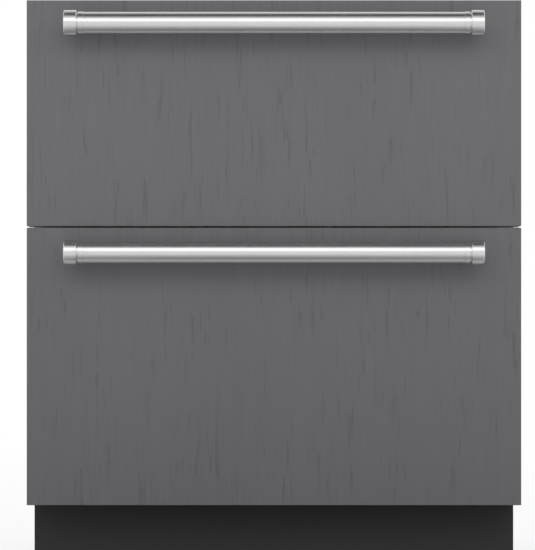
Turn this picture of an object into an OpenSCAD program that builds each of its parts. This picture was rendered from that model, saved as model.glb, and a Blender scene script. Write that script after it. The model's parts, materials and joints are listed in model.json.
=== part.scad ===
// Undercounter freezer with two full-width drawers behind wood panels, in millimetres.
// The front faces -Y and Z is up. The origin is on the floor, at the middle of the object's width and depth.

/* [Front panels] */
// Width of both wood panels
panel_w = 756; // [748:1:790]
// Thickness of a wood panel
panel_t = 19; // [16:0.5:25]
// Height of the upper wood panel
upper_panel_h = 345; // [330:1:400]
// Height of the lower wood panel
lower_panel_h = 424; // [415:1:480]
// Gap between the two wood panels
panel_gap = 3; // [2:0.5:5]
// Height of the panels' lower edge and the cabinet's underside above the floor
base_h = 102; // [98:1:130]

/* [Handles] */
// Length of a handle over its end caps
handle_len = 637; // [500:1:700]
// Outer diameter of the handle's tube
bar_d = 33; // [28:0.5:38]
// Wall of the handle's tube
bar_wall = 2; // [1.5:0.25:3]
// How far an end cap stands out beyond the tube, all round
cap_lip = 2.75; // [1.5:0.25:4]
// Length of an end cap along the handle
cap_len = 20; // [18:1:30]
// Length of the collar between an end cap's groove and the tube
collar_len = 8; // [4:1:14]
// Width of the groove between an end cap and its collar
groove_w = 1.5; // [1:0.25:3]
// Depth of that groove below the tube's surface
groove_depth = 1; // [0.5:0.25:1.25]
// Distance from the panel's face to the handle's axis
handle_standoff = 45; // [38:1:60]
// Distance from a panel's top edge down to the handle's axis
handle_drop = 38; // [32:1:80]
// Diameter of a handle's post
post_d = 17; // [14:1:17]
// Diameter of the foot of a post on the panel
post_foot_d = 20; // [18:0.5:20]
// Thickness of the foot of a post
post_foot_t = 4; // [2:0.5:8]

/* [Cabinet] */
// Width of the insulated cabinet
body_w = 743; // [720:1:746]
// Depth of the cabinet behind the gaskets
body_d = 536; // [525:1:560]
// Clearance from the cabinet's top down from the top of the panels
top_clear = 4; // [4:0.5:8]
// Thickness of a side wall from outside to inside
side_wall = 46; // [40:1:55]
// Thickness of the top wall
top_wall = 42; // [40:1:50]
// Thickness of the floor wall, and of the wall over the machine compartment
floor_wall = 46; // [40:1:50]
// Thickness of the rear wall
rear_wall = 46; // [40:1:50]
// Height of the divider between the two compartments
mullion_h = 40; // [38:1:50]
// Thickness of the outer steel sheet
sheet_t = 1; // [0.8:0.1:1.2]
// Thickness of the plastic liners
liner_t = 2; // [1.5:0.25:3]
// Radius of the liners' corners
corner_r = 12; // [8:1:18]
// Thickness of the frame round the two openings
frame_t = 3; // [2:0.5:5]
// Depth of the air duct behind each compartment's rear cover
duct_d = 66; // [64:1:70]
// Thickness of the rear covers inside the compartments
cover_t = 3; // [2:0.5:4]

/* [Machine compartment] */
// Depth of the machine compartment
machine_d = 235; // [232:1:245]
// Height of the machine compartment's roof above the floor
machine_top = 265; // [262:1:275]
// Height of the base frame's underside above the floor
frame_z = 28; // [26:1:34]
// Thickness of the base frame's steel
base_t = 2; // [1.5:0.25:2.5]
// Width of the base frame's rail flanges
rail_flange = 35; // [32:1:40]

/* [Kick plate] */
// Distance from the panels' face back to the kick plate
kick_setback = 75; // [70:1:90]
// Distance from the cabinet's side in to the base frame's rails
rail_inset = 3; // [2:0.5:5]
// Thickness of the kick plate
kick_t = 1.5; // [1:0.25:1.5]
// Clearance under the kick plate
kick_clear = 8; // [4:1:14]
// Depth of the kick plate's folded ends
kick_return = 30; // [20:1:45]

/* [Drawers] */
// Thickness of an insulated drawer front
door_t = 45; // [40:1:60]
// Clearance from a drawer front's outer edges to the worktop above and the kick space below
door_inset = 2.5; // [2:0.5:4]
// Seam between the steel skins of the two drawer fronts, behind the gap between their panels
skin_seam = 1.2; // [1:0.1:2]
// Distance from the side of a drawer front's steel skin out to its panel's side
door_side_inset = 1; // [0.5:0.5:8]
// Height of the raised field on a drawer front's inner face
field_t = 6; // [4:0.5:8]
// Clearance from the raised field to the gasket round it
field_gap = 6; // [4:1:12]
// Depth of a gasket between the drawer front and the cabinet
gasket_t = 10; // [8:0.5:14]
// Width of a gasket
gasket_w = 14; // [10:0.5:14]
// Distance from an opening's edge out to its gasket
gasket_margin = 2; // [1:0.5:2]
// Clearance between a gasket and the cabinet
seal_gap = 0.3; // [0.2:0.05:0.5]
// Wall of a drawer bin
bin_wall = 2.5; // [2:0.25:4]
// Radius of a bin's upright corners
bin_corner_r = 24; // [12:1:40]
// Clearance from a bin to the liner under it
bin_clear = 9; // [6:1:14]
// Distance from a drawer front back to its bin
bin_front_gap = 5; // [4:0.5:10]
// Thickness of a bin's divider
divider_t = 3; // [2:0.5:5]
// Clearance round a divider inside its bin
divider_play = 0.3; // [0.2:0.05:0.5]

/* [Slides] */
// Distance from a compartment's ceiling down to the middle of its slides
slide_drop = 100; // [95:1:110]
// Height of a slide's outer rail
rail_h = 46; // [40:1:48]
// Thickness of the rails' steel
rail_t = 1.5; // [1.2:0.1:1.8]
// Running clearance between one rail and the next
rail_play = 0.3; // [0.2:0.05:0.4]
// Width of a slide from the liner to the drawer's side plate
slide_w = 13; // [12.5:0.5:15]
// Distance from the cabinet's front back to the rails
slide_inset = 8; // [5:1:12]
// Distance from the rails' end back to the rear cover
slide_end_gap = 16; // [14:1:20]
// Height of a drawer's side plates
plate_h = 50; // [49:1:56]
// Thickness of a drawer's side plates
plate_t = 1.5; // [1.2:0.1:2]

/* [Legs] */
// Diameter of a levelling leg's foot
foot_d = 38; // [32:1:40]
// Diameter of a levelling leg's threaded stud
stud_d = 12; // [10:1:14]
// Running clearance between a stud and its nut
stud_play = 0.05; // [0.03:0.01:0.1]
// Distance from the kick plate back to the front legs
front_leg_inset = 50; // [44:1:80]
// Distance from the cabinet's rear to the rear legs
rear_leg_inset = 40; // [32:1:60]

/* [Controls] */
// Width of the control housing under the upper ceiling
control_w = 190; // [180:1:220]
// Height of the control housing
control_h = 26; // [26:1:32]
// Depth of the control housing
control_d = 34; // [30:1:44]
// Diameter of a push button
button_d = 13; // [11:0.5:14]
// Distance from one push button to the next
button_pitch = 24; // [22:1:28]
// How far a button stands out of the housing
button_proud = 2.2; // [2:0.1:3]
// Travel of a button
button_travel = 1.5; // [1:0.1:1.8]
// Clearance round a button
button_play = 0.3; // [0.2:0.05:0.4]

/* [Hidden] */
$fn = 48;
eps = 0.5;
hole_play = 0.05;

// Screws
screw_r = 2;
screw_head_r = 4;
screw_head_h = 2;
handle_screw_r = 3;
handle_screw_head_r = 5.5;
handle_screw_head_h = 3.5;

// Places front to back
cap_r = bar_d / 2 + cap_lip;
total_d = cap_r + handle_standoff + panel_t + door_t + gasket_t + body_d + screw_head_h;
y_face = cap_r + handle_standoff - total_d / 2;
y_pan = y_face + panel_t;
y_seal = y_pan + door_t;
y_field = y_seal + field_t;
y_front = y_seal + gasket_t;
y_back = y_front + body_d;
y_liner = y_front + frame_t;
y_liner_back = y_back - rear_wall;
y_cover = y_liner_back - duct_d;
y_machine = y_back - machine_d;
y_step = y_machine - floor_wall;
y_kick = y_face + kick_setback;

// Heights
lower_panel_top = base_h + lower_panel_h;
upper_panel_bottom = lower_panel_top + panel_gap;
stack_top = upper_panel_bottom + upper_panel_h;
split_z = lower_panel_top + panel_gap / 2;
cab_top = stack_top - top_clear;
upper_floor = split_z + mullion_h / 2;
upper_roof = cab_top - top_wall;
lower_floor = base_h + floor_wall;
lower_roof = split_z - mullion_h / 2;
step_z = machine_top + floor_wall;
tray_top = frame_z + base_t;

// Lower and upper edge of each drawer front and each opening
upper_door = [split_z + skin_seam / 2, stack_top - 2 * door_inset];
lower_door = [base_h + door_inset, split_z - skin_seam / 2];
upper_opening = [upper_floor, upper_roof];
lower_opening = [lower_floor, lower_roof];

// Half widths
body_hw = body_w / 2;
inner_hw = body_hw - sheet_t;
liner_hw = body_hw - side_wall;
door_hw = panel_w / 2 - door_side_inset;
plate_hw = liner_hw - slide_w;
field_hw = liner_hw + gasket_margin - field_gap;
bin_side_play = 1;
bin_hw = plate_hw - plate_t - bin_side_play;
rail_out = body_hw - rail_inset;

// Slides
slide_y0 = y_front + slide_inset;
slide_y1 = y_cover - slide_end_gap;
middle_short = 20;
upper_slide_z = upper_roof - slide_drop;
lower_slide_z = lower_roof - slide_drop;

// Bins
bin_y0 = y_field + bin_front_gap;
bin_y1 = slide_y1 - plate_t - bin_side_play;
bin_step_y = y_step - bin_clear;
rim_reach = bin_side_play + plate_t - 0.2;
rim_t = 2.5;

// Holes for the handles
counterbore_r = 7;
counterbore_depth = 4;
post_bore_depth = 22;
post_x = handle_len / 2 - cap_len / 2;

// Evaporator, its fan and its drain
tube_r = 4;
coil_pitch = 24;
fin_overhang = 10;
evap_side = 85.5;
evap_len = 2 * (liner_hw - evap_side);
evap_rows = 4;
evap_fins = 21;
evap_z = upper_floor + 48;
evap_y = y_cover + cover_t + 34;
evap_fan_r = 44;
evap_fan_z = upper_roof - 72;
evap_orifice_r = 48;
drain_r = 7;
drain_y = y_liner_back - 26;
drain_bottom = tray_top + 38;
port_x = [liner_hw - 67.5, liner_hw - 19.5];
port_y = [y_cover + cover_t + 10, y_liner_back - 14];

// Condenser, its fan and the compressor
cond_len = 200;
cond_rows = 6;
cond_fins = 17;
cond_inset = 166.5;
cond_x = body_hw - cond_inset;
cond_z = tray_top;
cond_y = y_machine + 44;
cond_fan_r = 56;
cond_fan_z = tray_top + 76;
cond_shroud_y = cond_y + 26;
shroud_half = cond_len / 2 + 2;
shroud_h = 152;
compressor_inset = 139.5;
compressor_x = compressor_inset - body_hw;
compressor_y = y_machine + 120;
compressor_r = 70;
compressor_h = 140;
grommet_h = 10;
grommet_r = 11;
grommet_dx = 76;
grommet_dy = 62;
grommet_pin_r = 4;
compressor_z = tray_top + grommet_h;
mount_plate_t = 3;
line_x = -(evap_len / 2 + 26);
line_y = y_liner_back + 20;
line_z = evap_z + fin_overhang + 3 * coil_pitch;

// Legs
leg_x = rail_out - rail_flange / 2;
leg_front_y = y_kick + front_leg_inset;
leg_rear_y = y_back - rear_leg_inset;
nut_r = 11;
nut_h = 12;
stud_end_gap = 6;

// Overlap that joins a screw's shank to its head, and the room left at the end of its hole
head_joint = 0.5;
screw_end_gap = 2;

// Brackets that hold the cabinet to the worktop
bracket_inset = 101.5;
bracket_x = body_hw - bracket_inset;
bracket_w = 60;
bracket_t = 1.5;
tab_reach = 30;
tab_hole_r = 2.75;
tab_hole_y = [8, 20];
bracket_back = 50;
bracket_screw_len = 10;
bracket_screw_bore = 12;
bracket_screw_y = [14, 28];

// Controls and lights
control_y = y_front + 8;
button_z = upper_roof - control_h / 2;
buttons_x = -control_w / 4;
flange_t = 1.5;
flange_lip = 1.5;
housing_wall = 2;
light_w = 300;
light_d = 24;
light_t = 8;
light_y = control_y + control_d + 16;

// Rear cover and power inlet
inlet_x = -90;
inlet_z = tray_top + 32;
inlet_w = 48;
inlet_h = 28;
inlet_d = 26;
cover_tab_w = 20;
cover_screw_x = inner_hw - cover_tab_w / 2;
cover_screw_len = 8;
cover_screw_z = machine_top - 24;

// A box between its lowest and its highest corner
module slab(low, high) {
    translate(low) cube(high - low);
}

// A box centred on x = 0
module wide_slab(half_w, y0, y1, z0, z1) {
    slab([-half_w, y0, z0], [half_w, y1, z1]);
}

// A box centred on x = 0 with its four edges along Y rounded
module round_slab(half_w, y0, y1, z0, z1, r) {
    wide_slab(half_w - r, y0, y1, z0, z1);
    wide_slab(half_w, y0, y1, z0 + r, z1 - r);
    for (x = [r - half_w, half_w - r], z = [z0 + r, z1 - r])
        rod_y(x, y0, y1, z, r);
}

// A box centred on x = 0 with its four upright edges rounded
module tub_slab(half_w, y0, y1, z0, z1, r) {
    wide_slab(half_w - r, y0, y1, z0, z1);
    wide_slab(half_w, y0 + r, y1 - r, z0, z1);
    for (x = [r - half_w, half_w - r], y = [y0 + r, y1 - r])
        translate([x, y, z0]) cylinder(h = z1 - z0, r = r);
}

// Its children and their mirror image on the other side
module both_sides() {
    children();
    mirror([1, 0, 0]) children();
}

// A rod along Y
module rod_y(x, y0, y1, z, r) {
    translate([x, y0, z]) rotate([-90, 0, 0]) cylinder(h = y1 - y0, r = r);
}

// A rod along X
module rod_x(x0, x1, y, z, r) {
    translate([x0, y, z]) rotate([0, 90, 0]) cylinder(h = x1 - x0, r = r);
}

// A pipe along straight runs that are each parallel to an axis, with round elbows
module pipe(points, r) {
    for (i = [0 : len(points) - 2]) {
        a = points[i];
        b = points[i + 1];
        d = b - a;
        translate(a) rotate([0, acos(d[2] / norm(d)), atan2(d[1], d[0])]) cylinder(h = norm(d), r = r);
    }
    for (i = [1 : len(points) - 2])
        translate(points[i]) sphere(r = r);
}

// Cabinet

// Painted steel over the top and both sides, with narrow flanges for the rear cover
module cabinet_wrapper() {
    color("#8f9194") {
        difference() {
            wide_slab(body_hw, y_front, y_back, base_h, cab_top);
            wide_slab(inner_hw, y_front - eps, y_back + eps, base_h - eps, cab_top - sheet_t);
            for (x = [-1, 1], y = bracket_screw_y)
                translate([x * bracket_x, y_front + y, cab_top - sheet_t - eps])
                    cylinder(h = sheet_t + 2 * eps, r = screw_r + hole_play);
        }
        both_sides() difference() {
            slab([inner_hw - cover_tab_w, y_back - 2 * sheet_t, base_h],
                [inner_hw, y_back - sheet_t, machine_top]);
            rod_y(cover_screw_x, y_back - 3 * sheet_t, y_back, cover_screw_z, screw_r + hole_play);
        }
    }
}

// One folded sheet: the back, the machine compartment's roof and front wall, and the cabinet's underside
module cabinet_rear_pan() {
    color("#a8aaac") difference() {
        union() {
            wide_slab(inner_hw, y_back - sheet_t, y_back, machine_top, cab_top - sheet_t);
            wide_slab(inner_hw, y_liner, y_machine, base_h, base_h + sheet_t);
            wide_slab(inner_hw, y_machine - sheet_t, y_machine, base_h, machine_top + sheet_t);
            wide_slab(inner_hw, y_machine - sheet_t, y_back, machine_top, machine_top + sheet_t);
        }
        translate([0, drain_y, machine_top - eps])
            cylinder(h = sheet_t + 2 * eps, r = drain_r + hole_play);
        translate([line_x, line_y, machine_top - eps])
            cylinder(h = sheet_t + 2 * eps, r = tube_r + hole_play);
    }
}

// The outside of the upper liner, and its hollow
module upper_cavity(grow, front) {
    round_slab(liner_hw + grow, front, y_liner_back + grow, upper_floor - grow, upper_roof + grow,
        corner_r + grow);
}

// The outside of the stepped lower liner, and its hollow
module lower_cavity(grow, front) {
    for (part = [[y_step, lower_floor], [y_liner_back, step_z]])
        round_slab(liner_hw + grow, front, part[0] + grow, part[1] - grow, lower_roof + grow,
            corner_r + grow);
}

module drain_hole(play) {
    above = 60;
    translate([0, drain_y, machine_top])
        cylinder(h = upper_floor - machine_top + above, r = drain_r + play);
}

// Two ports through the divider that carry the air between the compartments' ducts
module air_ports() {
    both_sides() slab([port_x[0], port_y[0], lower_roof - liner_t - eps],
        [port_x[1], port_y[1], upper_floor + liner_t + eps]);
}

module suction_path(r) {
    below = 40;
    pipe([[line_x, line_y, machine_top - below], [line_x, line_y, line_z],
        [line_x, evap_y - coil_pitch / 2, line_z]], r);
}

module cabinet_foam() {
    color("#e6d9a8") difference() {
        union() {
            wide_slab(inner_hw, y_liner, y_machine - sheet_t, base_h + sheet_t, cab_top - sheet_t);
            wide_slab(inner_hw, y_machine - sheet_t, y_back - sheet_t, machine_top + sheet_t,
                cab_top - sheet_t);
        }
        upper_cavity(liner_t, y_liner - eps);
        lower_cavity(liner_t, y_liner - eps);
        drain_hole(hole_play);
        air_ports();
        suction_path(tube_r + hole_play);
        for (x = [-1, 1], y = bracket_screw_y)
            translate([x * bracket_x, y_front + y, cab_top - bracket_screw_bore])
                cylinder(h = bracket_screw_bore, r = screw_r + hole_play);
    }
}

// Flat frame that the gaskets close on
module front_frame() {
    color("#8b8d90") difference() {
        wide_slab(inner_hw, y_front, y_liner, base_h, cab_top - sheet_t);
        round_slab(liner_hw, y_front - eps, y_liner + eps, upper_floor, upper_roof, corner_r);
        round_slab(liner_hw, y_front - eps, y_liner + eps, lower_floor, lower_roof, corner_r);
    }
}

module upper_liner() {
    color("#eceded") difference() {
        upper_cavity(liner_t, y_liner);
        upper_cavity(0, y_liner - eps);
        drain_hole(hole_play);
        air_ports();
        suction_path(tube_r + hole_play);
    }
}

module lower_liner() {
    color("#eceded") difference() {
        lower_cavity(liner_t, y_liner);
        lower_cavity(0, y_liner - eps);
        drain_hole(hole_play);
        air_ports();
    }
}

// Rows of upright air slots, counted across
module air_slots(count, pitch, w, h, y0, y1, z) {
    for (i = [0 : count - 1]) {
        x = (i - (count - 1) / 2) * pitch;
        slab([x - w / 2, y0, z - h / 2], [x + w / 2, y1, z + h / 2]);
    }
}

slots_inset = 24;

// A row of upright slots through a duct cover
module duct_slots(z) {
    air_slots(22, 24, 8, 26, y_cover - eps, y_cover + cover_t + eps, z);
}

// Rear wall of the upper compartment, with the fan's guard and the return slots
module upper_duct_cover() {
    guard_ring_r = [12, 24, 36];
    guard_bar = 2;
    color("#f1f2f2") {
        difference() {
            round_slab(liner_hw, y_cover, y_cover + cover_t, upper_floor, upper_roof, corner_r);
            rod_y(0, y_cover - eps, y_cover + cover_t + eps, evap_fan_z, evap_orifice_r);
            duct_slots(upper_floor + slots_inset);
        }
        intersection() {
            rod_y(0, y_cover, y_cover + cover_t / 2, evap_fan_z, evap_orifice_r + 1);
            union() {
                for (r = guard_ring_r) difference() {
                    rod_y(0, y_cover - eps, y_cover + cover_t, evap_fan_z, r + guard_bar / 2);
                    rod_y(0, y_cover - 2 * eps, y_cover + cover_t + eps, evap_fan_z, r - guard_bar / 2);
                }
                for (angle = [0 : 60 : 120])
                    translate([0, 0, evap_fan_z]) rotate([0, angle, 0]) translate([0, 0, -evap_fan_z])
                        wide_slab(evap_orifice_r + 2, y_cover - eps, y_cover + cover_t,
                            evap_fan_z - guard_bar / 2, evap_fan_z + guard_bar / 2);
            }
        }
    }
}

// Rear wall of the lower compartment, above the machine compartment's step
module lower_duct_cover() {
    color("#f1f2f2") difference() {
        round_slab(liner_hw, y_cover, y_cover + cover_t, step_z, lower_roof, corner_r);
        for (z = [step_z + slots_inset, lower_roof - slots_inset])
            duct_slots(z);
    }
}

// Cooling system

// Two columns of tube that run back and forth through thin fins; thicker end plates carry it
module fin_coil(length, rows, fins, x, y, z, foot_y0, foot_y1) {
    half = length / 2;
    fin_t = 0.8;
    end_t = 2;
    end_x = half - 4;
    fin_inset = 16;
    first_fin = fin_inset - half;
    fin_pitch = (length - 2 * fin_inset) / (fins - 1);
    height = (rows - 1) * coil_pitch + 2 * fin_overhang;
    depth = coil_pitch + 2 * fin_overhang;
    translate([x, y, z]) {
        for (column = [-1, 1], row = [0 : rows - 1])
            rod_x(-half, half, column * coil_pitch / 2, fin_overhang + row * coil_pitch, tube_r);
        for (column = [-1, 1], row = [0 : rows - 2]) {
            side = row % 2 == 0 ? 1 : -1;
            translate([side * half, column * coil_pitch / 2, fin_overhang + (row + 0.5) * coil_pitch])
                coil_bend(90 - 90 * side, 90);
        }
        // The lowest row leads from one column to the other on the left
        translate([-half, 0, fin_overhang]) coil_bend(180, 0);
        for (i = [0 : fins - 1])
            slab([first_fin + i * fin_pitch - fin_t / 2, -depth / 2, 0],
                [first_fin + i * fin_pitch + fin_t / 2, depth / 2, height]);
        for (side = [-1, 1])
            slab([side * end_x - end_t / 2, foot_y0 - y, 0], [side * end_x + end_t / 2, foot_y1 - y, height]);
    }
}

// Half a ring of tube that joins two runs of a coil, turned about Z, then tipped from flat to upright
module coil_bend(turn, tip) {
    rotate([0, 0, turn]) rotate([tip, 0, 0]) rotate([0, 0, -90])
        rotate_extrude(angle = 180) translate([coil_pitch / 2, 0]) circle(r = tube_r);
}

module evaporator_coil() {
    color("#c3c6c9") fin_coil(evap_len, evap_rows, evap_fins, 0, evap_y, evap_z,
        evap_y - coil_pitch / 2 - fin_overhang, y_liner_back);
}

module defrost_heater() {
    heater_r = 4;
    color("#6d6a66") rod_x(-evap_len / 2, evap_len / 2, evap_y, evap_z - heater_r - rail_play, heater_r);
}

// Trough under the evaporator, with the tube that drains it to the pan below
module drip_trough() {
    wall = 1.5;
    low = evap_z - 38;
    high = evap_z - 16;
    front = y_cover + cover_t + 10;
    half = evap_len / 2 + 10;
    color("#d5d8da") difference() {
        union() {
            wide_slab(half, front, y_liner_back, low, high);
            translate([0, drain_y, drain_bottom]) cylinder(h = low - drain_bottom + wall, r = drain_r);
        }
        wide_slab(half - wall, front + wall, y_liner_back - wall, low + wall, high + eps);
        translate([0, drain_y, drain_bottom - eps])
            cylinder(h = low - drain_bottom + 2 * wall + eps, r = drain_r - 2);
    }
}

// Five-bladed fan that turns about Y, with a bore for its motor's shaft
module axial_fan(x, y, z, radius, hub_r, depth, shaft_r) {
    blades = 5;
    blade_t = 1.6;
    chord = radius * 0.84;
    pitch_angle = 32;
    translate([x, y, z]) rotate([-90, 0, 0]) difference() {
        union() {
            cylinder(h = depth, r = hub_r);
            intersection() {
                cylinder(h = depth, r = radius);
                for (i = [0 : blades - 1])
                    rotate([0, 0, i * 360 / blades]) translate([0, 0, depth / 2]) rotate([pitch_angle, 0, 0])
                        translate([hub_r - 3, -chord / 2, -blade_t / 2]) cube([radius, chord, blade_t]);
            }
        }
        translate([0, 0, -eps]) cylinder(h = depth + 2 * eps, r = shaft_r + hole_play);
    }
}

// Motor on three arms, with posts forward to what it is fixed on
module fan_motor(x, y_mount, y_motor, z, post_r, motor_r, motor_len, shaft_r, shaft_len) {
    arm_w = 6;
    arm_t = 3;
    rod_y(x, y_motor, y_motor + motor_len, z, motor_r);
    rod_y(x, y_motor - shaft_len, y_motor + 1, z, shaft_r);
    for (angle = [90, 210, 330])
        translate([x, 0, z]) rotate([0, angle, 0]) {
            slab([0, y_motor, -arm_w / 2], [post_r, y_motor + arm_t, arm_w / 2]);
            rod_y(post_r, y_mount, y_motor + arm_t, 0, arm_w / 2);
        }
}

evap_motor_y = y_cover + cover_t + 24;
evap_motor_r = 17;
evap_motor_len = 28;
evap_fan_depth = 17;
evap_hub_r = 13;
evap_shaft_r = 2.5;
evap_shaft_len = 20;

module evaporator_fan_motor() {
    color("#3b3d40") fan_motor(0, y_cover + cover_t, evap_motor_y, evap_fan_z,
        evap_orifice_r + 5, evap_motor_r, evap_motor_len, evap_shaft_r, evap_shaft_len);
}

module evaporator_fan() {
    color("#e8e9ea") axial_fan(0, evap_motor_y - 2 - evap_fan_depth, evap_fan_z, evap_fan_r,
        evap_hub_r, evap_fan_depth, evap_shaft_r);
}

// Its children at the four corners where the compressor stands
module at_grommets() {
    for (dx = [-1, 1], dy = [-1, 1])
        translate([compressor_x + dx * grommet_dx, compressor_y + dy * grommet_dy, 0]) children();
}

// Hermetic compressor on a plate, with a seam ring round its shell and a box over its terminals
module compressor() {
    corner = 28;
    shell_z = compressor_z + mount_plate_t;
    seam_reach = 3;
    seam_h = 5;
    seam_z = shell_z + compressor_h * 0.55;
    plate_edge = 14;
    terminal_box = [26, 48, 56];
    terminal_lift = 30;
    color("#232426") {
        difference() {
            union() {
                translate([compressor_x, compressor_y, shell_z]) rotate_extrude() {
                    square([compressor_r - corner, compressor_h]);
                    translate([0, corner]) square([compressor_r, compressor_h - 2 * corner]);
                    for (z = [corner, compressor_h - corner])
                        translate([compressor_r - corner, z]) circle(r = corner);
                }
                translate([compressor_x, compressor_y, seam_z])
                    cylinder(h = seam_h, r = compressor_r + seam_reach);
                translate([compressor_x, compressor_y, 0])
                    slab([-grommet_dx - plate_edge, -grommet_dy - plate_edge, compressor_z],
                        [grommet_dx + plate_edge, grommet_dy + plate_edge, compressor_z + mount_plate_t]);
            }
            at_grommets() translate([0, 0, compressor_z - eps])
                cylinder(h = mount_plate_t + 2 * eps, r = grommet_pin_r + hole_play);
        }
        translate([compressor_x + compressor_r + seam_reach, compressor_y - terminal_box.y / 2,
            shell_z + terminal_lift])
            cube(terminal_box);
    }
}

module compressor_grommets() {
    color("#1b1b1c") at_grommets() translate([0, 0, tray_top]) difference() {
        cylinder(h = grommet_h, r = grommet_r);
        translate([0, 0, -eps]) cylinder(h = grommet_h + 2 * eps, r = grommet_pin_r + hole_play);
    }
}

module condenser_coil() {
    color("#3a3b3d") fin_coil(cond_len, cond_rows, cond_fins, cond_x, cond_y, cond_z,
        cond_y - coil_pitch / 2 - fin_overhang, cond_shroud_y);
}

cond_motor_y = cond_shroud_y + 32;
cond_motor_r = 24;
cond_motor_len = 36;
cond_fan_depth = 20;
cond_hub_r = 17;
cond_shaft_r = 3;
cond_shaft_len = 24;

// Plate with the fan's opening, standing on the tray, and the motor on its arms
module condenser_fan_frame() {
    plate = 2;
    color("#4a4c4f") {
        difference() {
            slab([cond_x - shroud_half, cond_shroud_y, tray_top],
                [cond_x + shroud_half, cond_shroud_y + plate, tray_top + shroud_h]);
            rod_y(cond_x, cond_shroud_y - eps, cond_shroud_y + plate + eps, cond_fan_z, cond_fan_r + 4);
        }
        fan_motor(cond_x, cond_shroud_y + plate, cond_motor_y, cond_fan_z, cond_fan_r + 9,
            cond_motor_r, cond_motor_len, cond_shaft_r, cond_shaft_len);
    }
}

module condenser_fan() {
    color("#2c2d2f") axial_fan(cond_x, cond_motor_y - 2 - cond_fan_depth, cond_fan_z, cond_fan_r,
        cond_hub_r, cond_fan_depth, cond_shaft_r);
}

// Open tray that catches the defrost water
module drain_pan() {
    wall = 2;
    half = cond_x - shroud_half - 15;
    depth = 150;
    height = 34;
    pan_corner_r = 12;
    back_reach = 40;
    y0 = drain_y - depth + back_reach;
    color("#2f3032") difference() {
        tub_slab(half, y0, y0 + depth, tray_top, tray_top + height, pan_corner_r);
        tub_slab(half - wall, y0 + wall, y0 + depth - wall, tray_top + wall, tray_top + height + eps,
            pan_corner_r - wall);
    }
}

// Copper lines: suction up to the evaporator, discharge to the condenser, and the filter drier
module refrigerant_lines() {
    top = compressor_z + mount_plate_t + compressor_h;
    run_z = machine_top - 22;
    cond_end = cond_x - cond_len / 2;
    cond_tube_z = cond_z + fin_overhang + (cond_rows - 1) * coil_pitch;
    front_y = cond_y - coil_pitch / 2;
    rear_y = cond_y + coil_pitch / 2;
    drier_x = cond_end - 40;
    drier_len = 56;
    drier_r = 9;
    capillary_r = 2.5;
    evap_end_y = evap_y - coil_pitch / 2;
    stub = 20;
    suction_y = compressor_y + stub;
    discharge_y = compressor_y - stub;
    discharge_x = cond_end - 24;
    color("#b8693c") {
        pipe([[compressor_x, suction_y, top], [compressor_x, suction_y, run_z], [line_x, suction_y, run_z],
            [line_x, line_y, run_z], [line_x, line_y, line_z], [line_x, evap_end_y, line_z],
            [-evap_len / 2, evap_end_y, line_z]], tube_r);
        pipe([[compressor_x + stub, discharge_y, top], [compressor_x + stub, discharge_y, run_z],
            [discharge_x, discharge_y, run_z], [discharge_x, front_y, run_z],
            [discharge_x, front_y, cond_tube_z], [cond_end, front_y, cond_tube_z]], tube_r);
        pipe([[cond_end, rear_y, cond_tube_z], [drier_x, rear_y, cond_tube_z], [drier_x, rear_y, run_z],
            [drier_x, line_y, run_z], [line_x, line_y, run_z]], capillary_r);
        translate([drier_x, rear_y, cond_tube_z + 8]) cylinder(h = drier_len, r = drier_r);
    }
}

module control_board_box() {
    width = 170;
    depth = 30;
    height = 70;
    right = cond_x - cond_len / 2 - 35;
    high = machine_top - 40;
    color("#d9dadb") slab([right - width, y_machine, high - height], [right, y_machine + depth, high]);
}

// Three-pin inlet for the mains lead, set into the rear cover
module power_inlet() {
    wall = 3;
    back_wall = 8;
    pin_half_w = 1.2;
    pin_half_h = 2.5;
    pin_end = 6;
    x0 = inlet_x - inlet_w / 2;
    z0 = inlet_z - inlet_h / 2;
    color("#1d1e1f") {
        difference() {
            slab([x0, y_back - inlet_d, z0], [x0 + inlet_w, y_back, z0 + inlet_h]);
            slab([x0 + wall, y_back - inlet_d + back_wall, z0 + wall],
                [x0 + inlet_w - wall, y_back + eps, z0 + inlet_h - wall]);
        }
        for (pin = [[-11, -2], [0, 4], [11, -2]])
            slab([inlet_x + pin[0] - pin_half_w, y_back - inlet_d + pin_end, inlet_z + pin[1] - pin_half_h],
                [inlet_x + pin[0] + pin_half_w, y_back - pin_end, inlet_z + pin[1] + pin_half_h]);
    }
}

// Base

// A folded channel along Y, its web outside
module base_rail() {
    nut_joint = 0.5;
    y0 = y_kick + kick_t;
    y1 = y_back - sheet_t;
    difference() {
        union() {
            slab([rail_out - base_t, y0, frame_z], [rail_out, y1, base_h]);
            slab([rail_out - rail_flange, y0, frame_z], [rail_out, y1, tray_top]);
            slab([rail_out - rail_flange, y0, base_h - base_t], [rail_out, y1, base_h]);
            for (y = [leg_front_y, leg_rear_y])
                translate([leg_x, y, tray_top - nut_joint]) cylinder(h = nut_h, r = nut_r);
        }
        for (y = [leg_front_y, leg_rear_y])
            translate([leg_x, y, frame_z - eps])
                cylinder(h = nut_h + base_t + 2 * eps, r = stud_d / 2 + stud_play);
    }
}

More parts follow.
